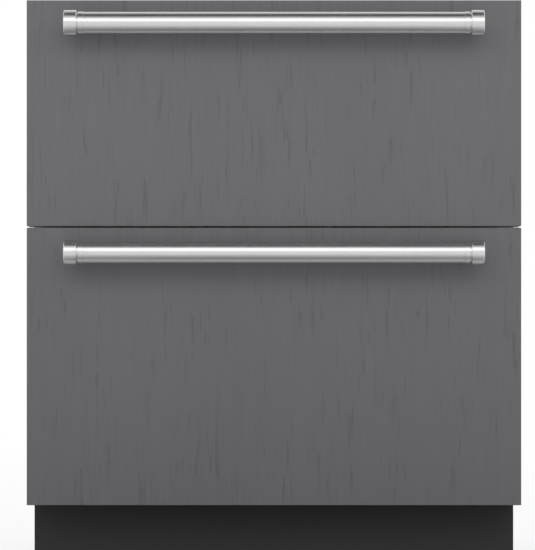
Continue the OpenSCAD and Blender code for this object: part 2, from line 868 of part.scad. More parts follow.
// Two rails, a member across the front and one across the rear, and the tray between them
module base_frame() {
    tray_hw = rail_out - rail_flange;
    y0 = y_kick + kick_t;
    air_gap_half = 110;
    air_gap_edge = 16;
    rear_lip = 10;
    tray_reach = 60;
    pin_above = 4;
    color("#77797c") {
        both_sides() base_rail();
        difference() {
            wide_slab(tray_hw, y0, y0 + base_t, frame_z, base_h);
            for (x = [-1, 1])
                slab([x * tray_hw / 2 - air_gap_half, y0 - eps, tray_top + air_gap_edge],
                    [x * tray_hw / 2 + air_gap_half, y0 + base_t + eps, base_h - air_gap_edge]);
        }
        wide_slab(tray_hw, y_back - sheet_t - base_t, y_back - sheet_t, tray_top, tray_top + rear_lip);
        wide_slab(tray_hw, y_machine - tray_reach, y_back - sheet_t, frame_z, tray_top);
        at_grommets() translate([0, 0, tray_top])
            cylinder(h = grommet_h + mount_plate_t + pin_above, r = grommet_pin_r);
    }
}

// Plain plate with folded ends that wrap round the base frame
module kick_plate() {
    half = body_hw;
    top = base_h - 1;
    color("#29292b") {
        wide_slab(half, y_kick, y_kick + kick_t, kick_clear, top);
        both_sides() slab([half - kick_t, y_kick, kick_clear], [half, y_kick + kick_return, top]);
    }
}

// Removable rear cover of the machine compartment, with louvre slots
module rear_cover() {
    slot_w = 150;
    slot_h = 5;
    slot_pitch = 16;
    slot_z = tray_top + 40;
    rows = 9;
    color("#a0a2a5") difference() {
        wide_slab(inner_hw, y_back - sheet_t, y_back, frame_z, machine_top);
        for (x = [compressor_x, cond_x], row = [0 : rows - 1])
            slab([x - slot_w / 2, y_back - sheet_t - eps, slot_z + row * slot_pitch],
                [x + slot_w / 2, y_back + eps, slot_z + row * slot_pitch + slot_h]);
        slab([inlet_x - inlet_w / 2, y_back - sheet_t - eps, inlet_z - inlet_h / 2],
            [inlet_x + inlet_w / 2, y_back + eps, inlet_z + inlet_h / 2]);
        both_sides()
            rod_y(cover_screw_x, y_back - 3 * sheet_t, y_back + eps, cover_screw_z, screw_r + hole_play);
    }
}

// Two flat tabs that reach forward over the drawer, to be screwed up into the worktop
module anti_tip_brackets() {
    color("#b9bbbd") both_sides() difference() {
        slab([bracket_x - bracket_w / 2, y_front - tab_reach, cab_top],
            [bracket_x + bracket_w / 2, y_front + bracket_back, cab_top + bracket_t]);
        for (y = tab_hole_y)
            translate([bracket_x, y_front - y, cab_top - eps])
                cylinder(h = bracket_t + 2 * eps, r = tab_hole_r);
        for (y = bracket_screw_y)
            translate([bracket_x, y_front + y, cab_top - eps])
                cylinder(h = bracket_t + 2 * eps, r = screw_r + hole_play);
    }
}

// Screws of the brackets and of the rear cover
module cabinet_screws() {
    color("#c9cbcd") both_sides() {
        for (y = bracket_screw_y)
            translate([bracket_x, y_front + y, cab_top + bracket_t]) {
                cylinder(h = screw_head_h, r = screw_head_r);
                translate([0, 0, -bracket_screw_len - bracket_t])
                    cylinder(h = bracket_screw_len + bracket_t + head_joint, r = screw_r);
            }
        rod_y(cover_screw_x, y_back, y_back + screw_head_h, cover_screw_z, screw_head_r);
        rod_y(cover_screw_x, y_back - cover_screw_len, y_back + head_joint, cover_screw_z, screw_r);
    }
}

// A leg with its foot on the floor, a hexagon to turn it by and its threaded stud
module levelling_leg(x, y) {
    foot_h = 8;
    hex_top = frame_z - 2;
    color("#5c5e61") translate([x, y, 0]) {
        cylinder(h = foot_h, r = foot_d / 2);
        translate([0, 0, foot_h]) cylinder(h = 5, r1 = foot_d / 2 - 2, r2 = stud_d);
        translate([0, 0, foot_h + 5]) cylinder(h = hex_top - foot_h - 5, r = stud_d - 1, $fn = 6);
        translate([0, 0, hex_top - 1]) cylinder(h = base_h - base_t - stud_end_gap - hex_top, r = stud_d / 2);
    }
}

// Controls

// Hollow housing with three button holes and the recess of the indicator's window
module control_housing() {
    y1 = control_y + control_d;
    window_x = control_w / 8;
    window_w = 52;
    window_h = 14;
    window_depth = 1;
    color("#3f4144") difference() {
        wide_slab(control_w / 2, control_y, y1, upper_roof - control_h, upper_roof);
        wide_slab(control_w / 2 - housing_wall, control_y + housing_wall, y1 - housing_wall,
            upper_roof - control_h + housing_wall, upper_roof - housing_wall);
        for (i = [-1 : 1])
            rod_y(buttons_x + i * button_pitch, control_y - eps, control_y + housing_wall + eps, button_z,
                button_d / 2 + button_play);
        slab([window_x, control_y - eps, button_z - window_h / 2],
            [window_x + window_w, control_y + window_depth, button_z + window_h / 2]);
    }
}

// A button whose flange rests behind the housing's face
module push_button(index) {
    x = buttons_x + index * button_pitch;
    inside = control_y + housing_wall + button_play;
    color("#d0d2d4") {
        rod_y(x, control_y - button_proud, inside + flange_t, button_z, button_d / 2);
        rod_y(x, inside, inside + flange_t, button_z, button_d / 2 + flange_lip);
        rod_y(x, inside + flange_t - 0.5, control_y + control_d - housing_wall - button_travel - button_play,
            button_z, button_d / 4);
    }
}

// A lamp bar under each compartment's ceiling
module light_bars() {
    color("#fbfbf4") for (ceiling = [upper_roof, lower_roof])
        wide_slab(light_w / 2, light_y, light_y + light_d, ceiling - light_t, ceiling);
}

// Slides

// One rail of a slide on the right-hand liner: a web and two lips, as distances in from the liner
module rail(web_in, lip_from, lip_to, half_h, y0, y1, z) {
    slab([liner_hw - web_in - rail_t, y0, z - half_h], [liner_hw - web_in, y1, z + half_h]);
    for (lip_z = [z - half_h, z + half_h - rail_t])
        slab([liner_hw - lip_to, y0, lip_z], [liner_hw - lip_from, y1, lip_z + rail_t]);
}

outer_half = rail_h / 2;
middle_half = outer_half - rail_t - rail_play;
inner_half = middle_half - rail_t - rail_play;
middle_web = rail_t + rail_play;

module slide_outer_rails() {
    color("#b4b7ba") both_sides() for (z = [upper_slide_z, lower_slide_z])
        rail(0, 0, slide_w - 2 * rail_t, outer_half, slide_y0, slide_y1, z);
}

module slide_middle_rails(z) {
    color("#aeb1b4") both_sides()
        rail(middle_web, middle_web, slide_w - rail_t - rail_play, middle_half, slide_y0 + 2,
            slide_y1 - middle_short, z);
}

// Drawers

// Panel with two counterbored holes for its handle's screws
module panel(z0, z1) {
    color("#66666a") difference() {
        wide_slab(panel_w / 2, y_face, y_pan, z0, z1);
        for (x = [-post_x, post_x]) {
            rod_y(x, y_face - eps, y_pan + eps, z1 - handle_drop, handle_screw_r + 0.2);
            rod_y(x, y_pan - counterbore_depth, y_pan + eps, z1 - handle_drop, counterbore_r);
        }
    }
}

// Steel skin of a drawer front, open at the back
module door_pan(z0, z1) {
    color("#9c9ea1") difference() {
        wide_slab(door_hw, y_pan, y_seal, z0, z1);
        wide_slab(door_hw - sheet_t, y_pan + sheet_t, y_seal + eps, z0 + sheet_t, z1 - sheet_t);
    }
}

frame_screw_x = plate_hw - plate_t - 22;
frame_screw_len = 16;

// Holes in a drawer front for the screws of its side plates
module frame_screw_holes(slide_z) {
    for (x = [-1, 1], z = [-1, 1])
        rod_y(x * frame_screw_x, y_field - frame_screw_len, y_field + eps, slide_z + z * plate_h / 3,
            screw_r + hole_play);
}

// Foam between the steel skin and the moulded inner face
module door_foam(z0, z1, opening, slide_z) {
    inset = field_gap - gasket_margin + liner_t;
    color("#e6d9a8") difference() {
        union() {
            wide_slab(door_hw - sheet_t, y_pan + sheet_t, y_seal - liner_t, z0 + sheet_t, z1 - sheet_t);
            round_slab(field_hw - liner_t, y_pan + sheet_t, y_field - liner_t, opening[0] + inset,
                opening[1] - inset, corner_r - liner_t);
        }
        frame_screw_holes(slide_z);
    }
}

// Moulded inner face, raised inside its gasket
module door_liner(z0, z1, opening, slide_z) {
    inset = field_gap - gasket_margin;
    inner = inset + liner_t;
    color("#eceded") difference() {
        union() {
            wide_slab(door_hw - sheet_t, y_seal - liner_t, y_seal, z0 + sheet_t, z1 - sheet_t);
            round_slab(field_hw, y_seal - liner_t, y_field, opening[0] + inset, opening[1] - inset, corner_r);
        }
        round_slab(field_hw - liner_t, y_seal - liner_t - eps, y_field - liner_t, opening[0] + inner,
            opening[1] - inner, corner_r - liner_t);
        frame_screw_holes(slide_z);
    }
}

// Soft ring that closes on the frame round one opening
module gasket(opening) {
    outer = gasket_margin + gasket_w;
    color("#d7d8d9") difference() {
        round_slab(liner_hw + outer, y_seal, y_front - seal_gap, opening[0] - outer, opening[1] + outer,
            corner_r + outer);
        round_slab(liner_hw + gasket_margin, y_seal - eps, y_front, opening[0] - gasket_margin,
            opening[1] + gasket_margin, corner_r + gasket_margin);
    }
}

// Inner rails, side plates with their front flanges, and the bar that joins them at the rear
module drawer_frame(slide_z) {
    low = slide_z - plate_h / 2;
    high = slide_z + plate_h / 2;
    flange_w = 40;
    color("#b9bcbf") {
        both_sides() {
            rail(slide_w - rail_t, middle_web + rail_t + rail_play, slide_w, inner_half, slide_y0 + 4,
                slide_y1, slide_z);
            slab([plate_hw - plate_t, y_field, low], [plate_hw, slide_y1, high]);
            difference() {
                slab([plate_hw - plate_t - flange_w, y_field, low],
                    [plate_hw - plate_t, y_field + plate_t, high]);
                for (z = [-1, 1])
                    rod_y(frame_screw_x, y_field - eps, y_field + plate_t + eps, slide_z + z * plate_h / 3,
                        screw_r + hole_play);
            }
        }
        wide_slab(plate_hw - plate_t, slide_y1 - plate_t, slide_y1, low, high);
    }
}

// Rim of a bin, which hangs on the side plates
module bin_rim(z) {
    tub_slab(bin_hw + rim_reach, bin_y0, bin_y1, z, z + rim_t, bin_corner_r);
}

// A block of a bin from front to back, set in by a wall where it is the bin's hollow
module bin_block(inset, y1, z0, z1) {
    tub_slab(bin_hw - inset, bin_y0 + inset, y1 - inset, z0 + inset, z1, bin_corner_r - inset);
}

module upper_bin() {
    rim_z = upper_slide_z + plate_h / 2;
    top = rim_z + rim_t;
    z0 = upper_floor + bin_clear;
    color("#e9ebec") difference() {
        union() {
            bin_block(0, bin_y1, z0, top);
            bin_rim(rim_z);
        }
        bin_block(bin_wall, bin_y1, z0, top + eps);
    }
}

// The lower bin is deep in front of the machine compartment's step and shallow over it
module lower_bin() {
    rim_z = lower_slide_z + plate_h / 2;
    top = rim_z + rim_t;
    deep_z = lower_floor + bin_clear;
    shallow_z = step_z + bin_clear;
    color("#e9ebec") difference() {
        union() {
            bin_block(0, bin_step_y, deep_z, top);
            bin_block(0, bin_y1, shallow_z, top);
            bin_rim(rim_z);
        }
        bin_block(bin_wall, bin_step_y, deep_z, top + eps);
        bin_block(bin_wall, bin_y1, shallow_z, top + eps);
    }
}

// A plate that slides left and right in the upper bin, with hooks over the front and rear rims
module upper_divider() {
    top = upper_slide_z + plate_h / 2 + rim_t;
    inset = bin_wall + divider_play;
    hook_reach = 8;
    hook_t = 3;
    hook_half = 12;
    color("#cfd3d6") {
        wide_slab(divider_t / 2, bin_y0 + inset, bin_y1 - inset, upper_floor + bin_clear + inset,
            top + 2 * hook_t);
        for (y = [[bin_y0, bin_y0 + inset + hook_reach], [bin_y1 - inset - hook_reach, bin_y1]])
            wide_slab(hook_half, y[0], y[1], top + divider_play, top + divider_play + hook_t);
    }
}

// Tube of a handle between its two collars
module handle_bar(panel_top) {
    z = panel_top - handle_drop;
    y = y_face - handle_standoff;
    half = handle_len / 2 - cap_len - groove_w - collar_len;
    color("#c9cbcc") difference() {
        rod_x(-half, half, y, z, bar_d / 2);
        rod_x(-half - eps, half + eps, y, z, bar_d / 2 - bar_wall);
    }
}

// End caps, each with its groove, collar, spigot into the tube, and post with a screwed bore
module handle_posts(panel_top) {
    z = panel_top - handle_drop;
    y = y_face - handle_standoff;
    spigot = 14;
    collar_step = 0.5;
    end = handle_len / 2;
    inner = end - cap_len;
    color("#c9cbcc") both_sides() difference() {
        union() {
            rod_x(inner, end, y, z, cap_r);
            rod_x(inner - groove_w - eps, inner + eps, y, z, bar_d / 2 - groove_depth);
            rod_x(inner - groove_w - collar_len, inner - groove_w, y, z, bar_d / 2 + collar_step);
            rod_x(inner - groove_w - collar_len - spigot, inner, y, z, bar_d / 2 - bar_wall - hole_play);
            rod_y(post_x, y, y_face, z, post_d / 2);
            rod_y(post_x, y_face - post_foot_t, y_face, z, post_foot_d / 2);
        }
        rod_y(post_x, y_face - post_bore_depth, y_face + eps, z, handle_screw_r + hole_play);
    }
}

// Screws of the handle, and of the side plates on the drawer front
module drawer_screws(panel_top, slide_z) {
    z = panel_top - handle_drop;
    head_y = y_field + plate_t;
    color("#c9cbcd") both_sides() {
        rod_y(post_x, y_face - post_bore_depth + screw_end_gap, y_pan - counterbore_depth + head_joint, z,
            handle_screw_r);
        rod_y(post_x, y_pan - counterbore_depth, y_pan - counterbore_depth + handle_screw_head_h, z,
            handle_screw_head_r);
        for (dz = [-plate_h / 3, plate_h / 3]) {
            rod_y(frame_screw_x, head_y, head_y + screw_head_h, slide_z + dz, screw_head_r);
            rod_y(frame_screw_x, y_field - frame_screw_len + screw_end_gap, head_y + head_joint, slide_z + dz,
                screw_r);
        }
    }
}

cabinet_wrapper();
cabinet_rear_pan();
cabinet_foam();
front_frame();
upper_liner();
lower_liner();
upper_duct_cover();
lower_duct_cover();
evaporator_coil();
defrost_heater();
drip_trough();
evaporator_fan_motor();
evaporator_fan();
light_bars();
control_housing();
push_button(-1);  // power_button
push_button(0);  // warmer_button
push_button(1);  // colder_button
compressor();
compressor_grommets();
condenser_coil();
condenser_fan_frame();
condenser_fan();
drain_pan();
refrigerant_lines();
control_board_box();
power_inlet();
base_frame();
kick_plate();
rear_cover();
anti_tip_brackets();
cabinet_screws();
slide_outer_rails();
levelling_leg(-leg_x, leg_front_y);  // front_left_leg
levelling_leg(leg_x, leg_front_y);  // front_right_leg
levelling_leg(-leg_x, leg_rear_y);  // rear_left_leg
levelling_leg(leg_x, leg_rear_y);  // rear_right_leg
slide_middle_rails(upper_slide_z);  // upper_slide_middle_rails
slide_middle_rails(lower_slide_z);  // lower_slide_middle_rails
panel(upper_panel_bottom, stack_top);  // upper_panel
door_pan(upper_door[0], upper_door[1]);  // upper_door_pan
door_foam(upper_door[0], upper_door[1], upper_opening, upper_slide_z);  // upper_door_foam
door_liner(upper_door[0], upper_door[1], upper_opening, upper_slide_z);  // upper_door_liner
gasket(upper_opening);  // upper_gasket
drawer_frame(upper_slide_z);  // upper_drawer_frame
upper_bin();
upper_divider();
handle_bar(stack_top);  // upper_handle_bar
handle_posts(stack_top);  // upper_handle_posts
drawer_screws(stack_top, upper_slide_z);  // upper_drawer_screws
panel(base_h, lower_panel_top);  // lower_panel
door_pan(lower_door[0], lower_door[1]);  // lower_door_pan
door_foam(lower_door[0], lower_door[1], lower_opening, lower_slide_z);  // lower_door_foam
door_liner(lower_door[0], lower_door[1], lower_opening, lower_slide_z);  // lower_door_liner
gasket(lower_opening);  // lower_gasket
drawer_frame(lower_slide_z);  // lower_drawer_frame
lower_bin();
handle_bar(lower_panel_top);  // lower_handle_bar
handle_posts(lower_panel_top);  // lower_handle_posts
drawer_screws(lower_panel_top, lower_slide_z);  // lower_drawer_screws
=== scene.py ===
import json
import math

import bmesh
import bpy
from mathutils import Matrix, Vector


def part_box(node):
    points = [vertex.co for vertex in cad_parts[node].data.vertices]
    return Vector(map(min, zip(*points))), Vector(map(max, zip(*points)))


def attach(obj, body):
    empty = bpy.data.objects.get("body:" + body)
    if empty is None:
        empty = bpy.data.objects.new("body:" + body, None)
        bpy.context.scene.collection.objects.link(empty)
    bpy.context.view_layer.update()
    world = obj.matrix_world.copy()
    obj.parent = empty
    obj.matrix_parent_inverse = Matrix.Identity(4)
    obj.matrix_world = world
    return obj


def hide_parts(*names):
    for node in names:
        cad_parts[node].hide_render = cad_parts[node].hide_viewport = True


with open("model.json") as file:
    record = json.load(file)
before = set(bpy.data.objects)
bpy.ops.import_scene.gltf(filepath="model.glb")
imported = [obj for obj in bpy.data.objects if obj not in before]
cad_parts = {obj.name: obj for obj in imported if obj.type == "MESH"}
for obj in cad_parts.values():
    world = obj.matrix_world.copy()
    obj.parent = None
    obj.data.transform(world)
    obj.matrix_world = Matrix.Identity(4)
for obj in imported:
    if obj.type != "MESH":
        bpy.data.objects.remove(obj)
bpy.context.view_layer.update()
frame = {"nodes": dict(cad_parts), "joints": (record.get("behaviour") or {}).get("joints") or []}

scene = bpy.context.scene
X_AXIS, Y_AXIS, Z_AXIS = Vector((1, 0, 0)), Vector((0, 1, 0)), Vector((0, 0, 1))
QUARTER = math.pi / 2
# Edges that turn by more than this are eased or stay sharp
CREASE_ANGLE = math.radians(40)
# Points that lie closer together than this are one point
SAME_POINT = 0.000002
# Top of a levelling leg's hexagon, where its thread begins
HEXAGON_TOP = 0.026


# Patterns

# Kinds of pattern: the texture and the output that carries it
TEXTURES = {
    "noise": ("ShaderNodeTexNoise", "Fac"),
    "cells": ("ShaderNodeTexVoronoi", "Color"),
    "rings": ("ShaderNodeTexWave", "Fac"),
}


def finish(name, roughness, metallic=0.0, specular=0.5):
    """A material with a plain shader, to which patterns are added."""
    mat = bpy.data.materials.new(name)
    mat.use_nodes = True
    nodes = mat.node_tree.nodes
    nodes.clear()
    out = nodes.new("ShaderNodeOutputMaterial")
    skin = nodes.new("ShaderNodeBsdfPrincipled")
    skin.name = "skin"
    mat.node_tree.links.new(skin.outputs["BSDF"], out.inputs["Surface"])
    skin.inputs["Metallic"].default_value = metallic
    skin.inputs["Roughness"].default_value = roughness
    skin.inputs["Specular IOR Level"].default_value = specular
    return mat


def pattern(mat, kind, size, stretch=(1, 1, 1), detail=3.0, distortion=0.0):
    """A pattern in the object's own space. size is that of its features in metres, before stretch."""
    nodes, links = mat.node_tree.nodes, mat.node_tree.links
    coords = nodes.new("ShaderNodeTexCoord")
    place = nodes.new("ShaderNodeMapping")
    place.inputs["Scale"].default_value = [1 / (size * s) for s in stretch]
    links.new(coords.outputs["Object"], place.inputs["Vector"])
    texture, output = TEXTURES[kind]
    tex = nodes.new(texture)
    tex.inputs["Scale"].default_value = 1
    if kind == "noise":
        tex.inputs["Detail"].default_value = detail
        tex.inputs["Distortion"].default_value = distortion
    if kind == "rings":
        tex.bands_direction = "Z"
    links.new(place.outputs["Vector"], tex.inputs["Vector"])
    return tex.outputs[output]


def ramp(mat, factor, *stops):
    """Colours or greys along a factor, as (position, colour) stops."""
    node = mat.node_tree.nodes.new("ShaderNodeValToRGB")
    marks = node.color_ramp.elements
    while len(marks) < len(stops):
        marks.new(0.5)
    for mark, (position, colour) in zip(marks, stops):
        if isinstance(colour, (int, float)):
            colour = (colour, colour, colour)
        mark.position = position
        mark.color = (*colour, 1)
    mat.node_tree.links.new(factor, node.inputs["Fac"])
    return node.outputs["Color"]


def shaded(mat, factor, colour, *stops):
    """Shades of one colour along a factor, as (position, share of the colour) stops."""
    return ramp(mat, factor, *[(position, [c * share for c in colour]) for position, share in stops])


def blended(mat, kind, a, b):
    """Two colours or patterns in one, by a kind of blend."""
    nodes, links = mat.node_tree.nodes, mat.node_tree.links
    node = nodes.new("ShaderNodeMix")
    node.data_type = "RGBA"
    node.blend_type = kind
    # The first input is the blend's factor, the seventh and eighth are its colours
    node.inputs[0].default_value = 1
    links.new(a, node.inputs[6])
    links.new(b, node.inputs[7])
    return node.outputs[2]


def lighten(mat, a, b):
    """The lighter of two patterns at each place."""
    return blended(mat, "LIGHTEN", a, b)


def times(mat, first, *others):
    """Patterns multiplied with each other."""
    for other in others:
        first = blended(mat, "MULTIPLY", first, other)
    return first


def number(mat, operation, a, b):
    """One value from two, each of them an output or a plain number."""
    node = mat.node_tree.nodes.new("ShaderNodeMath")
    node.operation = operation
    for value, socket in zip((a, b), node.inputs):
        if isinstance(value, (int, float)):
            socket.default_value = value
        else:
            mat.node_tree.links.new(value, socket)
    return node.outputs[0]


def carried(mat, factor, from_low, from_high, to_low, to_high):
    """A factor carried from one range over to another."""
    node = mat.node_tree.nodes.new("ShaderNodeMapRange")
    node.inputs["From Min"].default_value = from_low
    node.inputs["From Max"].default_value = from_high
    node.inputs["To Min"].default_value = to_low
    node.inputs["To Max"].default_value = to_high
    mat.node_tree.links.new(factor, node.inputs["Value"])
    return node.outputs["Result"]


def above(mat, height):
    """1 above a height in the object's own space and 0 below it."""
    nodes, links = mat.node_tree.nodes, mat.node_tree.links
    coords = nodes.new("ShaderNodeTexCoord")
    parts = nodes.new("ShaderNodeSeparateXYZ")
    links.new(coords.outputs["Object"], parts.inputs[0])
    return number(mat, "GREATER_THAN", parts.outputs["Z"], height)


def paint_with(mat, colour):
    """The shader's colour, from a pattern."""
    mat.node_tree.links.new(colour, mat.node_tree.nodes["skin"].inputs["Base Color"])


def vary_gloss(mat, factor, low, high):
    """Roughness that follows the middle of a pattern between two values."""
    roughness = carried(mat, factor, 0.3, 0.7, low, high)
    mat.node_tree.links.new(roughness, mat.node_tree.nodes["skin"].inputs["Roughness"])


def relief(mat, height, depth, strength):
    """Bumps of a depth in metres, added over any relief that is there already."""
    nodes, links = mat.node_tree.nodes, mat.node_tree.links
    bump = nodes.new("ShaderNodeBump")
    bump.inputs["Strength"].default_value = strength
    bump.inputs["Distance"].default_value = depth
    links.new(height, bump.inputs["Height"])
    normal = nodes["skin"].inputs["Normal"]
    if normal.is_linked:
        links.new(normal.links[0].from_socket, bump.inputs["Normal"])
    links.new(bump.outputs["Normal"], normal)


# Finishes

def stained_oak():
    """Satin grey stain over open upright grain: faint pores, in clusters."""
    mat = finish("stained_oak", roughness=0.46, specular=0.42)
    stain = (0.1165, 0.1145, 0.1215)
    cloud = pattern(mat, "noise", 0.16, (1, 1, 2.4), detail=2)
    ray = pattern(mat, "noise", 0.0075, (1, 1, 13), detail=3, distortion=0.6)
    pores = pattern(mat, "noise", 0.0052, (1, 1, 13), detail=2, distortion=0.6)
    bands = pattern(mat, "noise", 0.034, (1, 1, 3.6), detail=2, distortion=0.4)
    hair = pattern(mat, "noise", 0.0011, (1, 1, 40), detail=1)
    tone = shaded(mat, ray, stain, (0.3, 0.962), (0.5, 1.0), (0.7, 1.035))
    drift = ramp(mat, cloud, (0.3, 0.965), (0.7, 1.0))
    pore_line = ramp(mat, pores, (0.33, 0.0), (0.42, 1.0))
    quiet = ramp(mat, bands, (0.44, 0.0), (0.56, 1.0))
    open_pores = ramp(mat, lighten(mat, pore_line, quiet), (0.0, 0.81), (1.0, 1.0))
    fine = ramp(mat, hair, (0.25, 0.96), (0.45, 1.0))
    paint_with(mat, times(mat, tone, drift, fine, open_pores))
    vary_gloss(mat, ray, 0.44, 0.52)
    relief(mat, open_pores, 0.00012, 0.5)
    relief(mat, hair, 0.00002, 0.3)
    return mat


def brushed_stainless():
    """Stainless steel brushed along the handle."""
    mat = finish("brushed_stainless", metallic=1.0, roughness=0.24)
    lines = pattern(mat, "noise", 0.00035, (170, 1, 1), detail=4)
    haze = pattern(mat, "noise", 0.03, (3, 1, 1), detail=2)
    tone = shaded(mat, lines, (0.630, 0.632, 0.640), (0.3, 0.95), (0.7, 1.04))
    paint_with(mat, times(mat, tone, ramp(mat, haze, (0.3, 0.97), (0.7, 1.0))))
    vary_gloss(mat, lines, 0.20, 0.29)
    relief(mat, lines, 0.000012, 0.35)
    return mat


def matt_black_paint():
    """Powder paint with a fine grain."""
    mat = finish("matt_black_paint", roughness=0.6, specular=0.35)
    grain = pattern(mat, "noise", 0.0009, detail=2)
    cloud = pattern(mat, "noise", 0.09, (3, 1, 1), detail=2)
    tone = shaded(mat, grain, (0.0245, 0.0245, 0.0250), (0.3, 0.92), (0.7, 1.08))
    paint_with(mat, times(mat, tone, ramp(mat, cloud, (0.3, 0.94), (0.7, 1))))
    vary_gloss(mat, grain, 0.52, 0.66)
    relief(mat, grain, 0.00003, 0.4)
    return mat


def enamel(name, colour, gloss=(0.34, 0.44), peel=0.00003):
    """Sprayed enamel with a light orange peel and slight clouding."""
    mat = finish(name, roughness=0.4)
    dimples = pattern(mat, "noise", 0.0016, detail=2)
    cloud = pattern(mat, "noise", 0.14, detail=2)
    tone = shaded(mat, cloud, colour, (0.3, 0.965), (0.7, 1.02))
    paint_with(mat, times(mat, tone, ramp(mat, dimples, (0.2, 0.985), (0.8, 1))))
    vary_gloss(mat, cloud, *gloss)
    relief(mat, dimples, peel, 0.3)
    return mat


def zinc_sheet(name, colour, spangle=0.012):
    """Zinc-coated sheet with soft spangle and a rolled sheen."""
    mat = finish(name, metallic=1.0, roughness=0.42)
    flakes = pattern(mat, "cells", spangle, (1.0, 1.0, 1.2))
    film = pattern(mat, "noise", 0.05, (1, 1, 2), detail=3)
    scuffs = pattern(mat, "noise", 0.0022, (1, 1, 22), detail=2)
    grey = ramp(mat, flakes, (0.0, 0.90), (1.0, 1.0))
    tone = shaded(mat, film, colour, (0.3, 0.93), (0.7, 1.03))
    paint_with(mat, times(mat, tone, grey, ramp(mat, scuffs, (0.25, 0.93), (0.45, 1))))
    vary_gloss(mat, film, 0.36, 0.50)
    relief(mat, flakes, 0.00001, 0.2)
    return mat


def drawn_metal(name, colour, gloss=(0.26, 0.4), along=(1, 30, 1), line=0.0006):
    """Bright rolled or drawn metal with fine lines along its length."""
    mat = finish(name, metallic=1.0, roughness=0.32)
    lines = pattern(mat, "noise", line, along, detail=3)
    film = pattern(mat, "noise", 0.03, detail=2)
    tone = shaded(mat, lines, colour, (0.25, 0.9), (0.7, 1.04))
    paint_with(mat, times(mat, tone, ramp(mat, film, (0.3, 0.93), (0.7, 1))))
    vary_gloss(mat, lines, *gloss)
    relief(mat, lines, 0.00001, 0.25)
    return mat


def moulded(name, colour, gloss=(0.38, 0.5), grain=0.0007, depth=0.00002, specular=0.5):
    """Moulded plastic: a fine tool grain with slight flow clouding."""
    mat = finish(name, roughness=0.45, specular=specular)
    tool = pattern(mat, "noise", grain, detail=2)
    flow = pattern(mat, "noise", 0.08, detail=2)
    tone = shaded(mat, flow, colour, (0.3, 0.97), (0.7, 1.015))
    paint_with(mat, times(mat, tone, ramp(mat, tool, (0.2, 0.975), (0.8, 1))))
    vary_gloss(mat, flow, *gloss)
    relief(mat, tool, depth, 0.3)
    return mat


def frosted(name, colour, clear):
    """Frosted plastic that lets a share of the light through."""
    mat = moulded(name, colour, (0.28, 0.42), 0.0012)
    skin = mat.node_tree.nodes["skin"]
    skin.inputs["Transmission Weight"].default_value = clear
    skin.inputs["IOR"].default_value = 1.49
    return mat


def glowing(mat, colour, strength):
    """A lamp's cover, lit from inside."""
    skin = mat.node_tree.nodes["skin"]
    skin.inputs["Emission Color"].default_value = (*colour, 1)
    skin.inputs["Emission Strength"].default_value = strength


def rigid_foam():
    """Cut foam with open cells."""
    mat = finish("rigid_foam", roughness=0.85, specular=0.2)
    cells = pattern(mat, "cells", 0.0018)
    cloud = pattern(mat, "noise", 0.05, detail=3)
    tone = shaded(mat, cloud, (0.80, 0.71, 0.46), (0.3, 0.88), (0.7, 1.03))
    paint_with(mat, times(mat, tone, ramp(mat, cells, (0, 0.9), (1, 1))))
    relief(mat, cells, 0.0003, 0.5)
    return mat


def threaded_steel():
    """Turned steel with a thread's fine rings above the foot and its hexagon."""
    mat = finish("threaded_steel", metallic=1.0, roughness=0.34)
    film = pattern(mat, "noise", 0.012, detail=3)
    no_thread = ramp(mat, above(mat, HEXAGON_TOP), (0, 1), (1, 0))
    rings = lighten(mat, pattern(mat, "rings", 0.0055), no_thread)
    tone = shaded(mat, film, (0.46, 0.465, 0.47), (0.3, 0.86), (0.7, 1.04))
    paint_with(mat, times(mat, tone, ramp(mat, rings, (0.1, 0.86), (0.6, 1))))
    vary_gloss(mat, film, 0.3, 0.46)
    relief(mat, rings, 0.0004, 0.5)
    return mat


oak = stained_oak()
stainless = brushed_stainless()
kick_black = matt_black_paint()
cabinet_grey = enamel("cabinet_grey_enamel", (0.36, 0.365, 0.375))
frame_grey = enamel("front_frame_enamel", (0.66, 0.665, 0.68))
door_enamel = enamel("door_pan_enamel", (0.42, 0.42, 0.43), (0.4, 0.5))
compressor_black = enamel("compressor_enamel", (0.02, 0.02, 0.022), (0.2, 0.3), 0.00008)
condenser_black = enamel("condenser_paint", (0.035, 0.035, 0.038), (0.45, 0.6))
zinc = zinc_sheet("zinc_coated_sheet", (0.60, 0.61, 0.62))
base_zinc = zinc_sheet("base_frame_zinc", (0.56, 0.57, 0.58), 0.009)
bracket_zinc = drawn_metal("bracket_zinc", (0.66, 0.67, 0.68))
shroud_zinc = zinc_sheet("fan_frame_zinc", (0.55, 0.56, 0.57), 0.008)
rail_steel = drawn_metal("slide_rail_steel", (0.64, 0.65, 0.66))
screw_zinc = drawn_metal("bright_zinc", (0.66, 0.67, 0.66), (0.25, 0.36), (1, 1, 1), 0.0012)
copper = drawn_metal("drawn_copper", (0.76, 0.38, 0.22), (0.24, 0.4), (8, 8, 8), 0.0012)
aluminium = drawn_metal("fin_aluminium", (0.78, 0.79, 0.80), (0.3, 0.42), (1, 1, 12), 0.0007)
trough_alu = drawn_metal("trough_aluminium", (0.74, 0.75, 0.76), (0.34, 0.46), (24, 1, 1), 0.0007)
heater_steel = drawn_metal("heater_sheath", (0.36, 0.33, 0.30), (0.35, 0.5), (20, 1, 1), 0.0007)
leg_steel = threaded_steel()
liner_white = moulded("liner_plastic", (0.84, 0.845, 0.845), (0.24, 0.34), 0.0011)
cover_white = moulded("cover_plastic", (0.80, 0.805, 0.81), (0.42, 0.54), 0.0008, 0.00004)
bin_white = frosted("bin_plastic", (0.78, 0.80, 0.81), 0.12)
divider_clear = frosted("divider_plastic", (0.72, 0.76, 0.79), 0.55)
diffuser = moulded("milky_diffuser", (0.90, 0.90, 0.86), (0.3, 0.4), 0.0014)
glowing(diffuser, (1.0, 0.98, 0.94), 2.2)
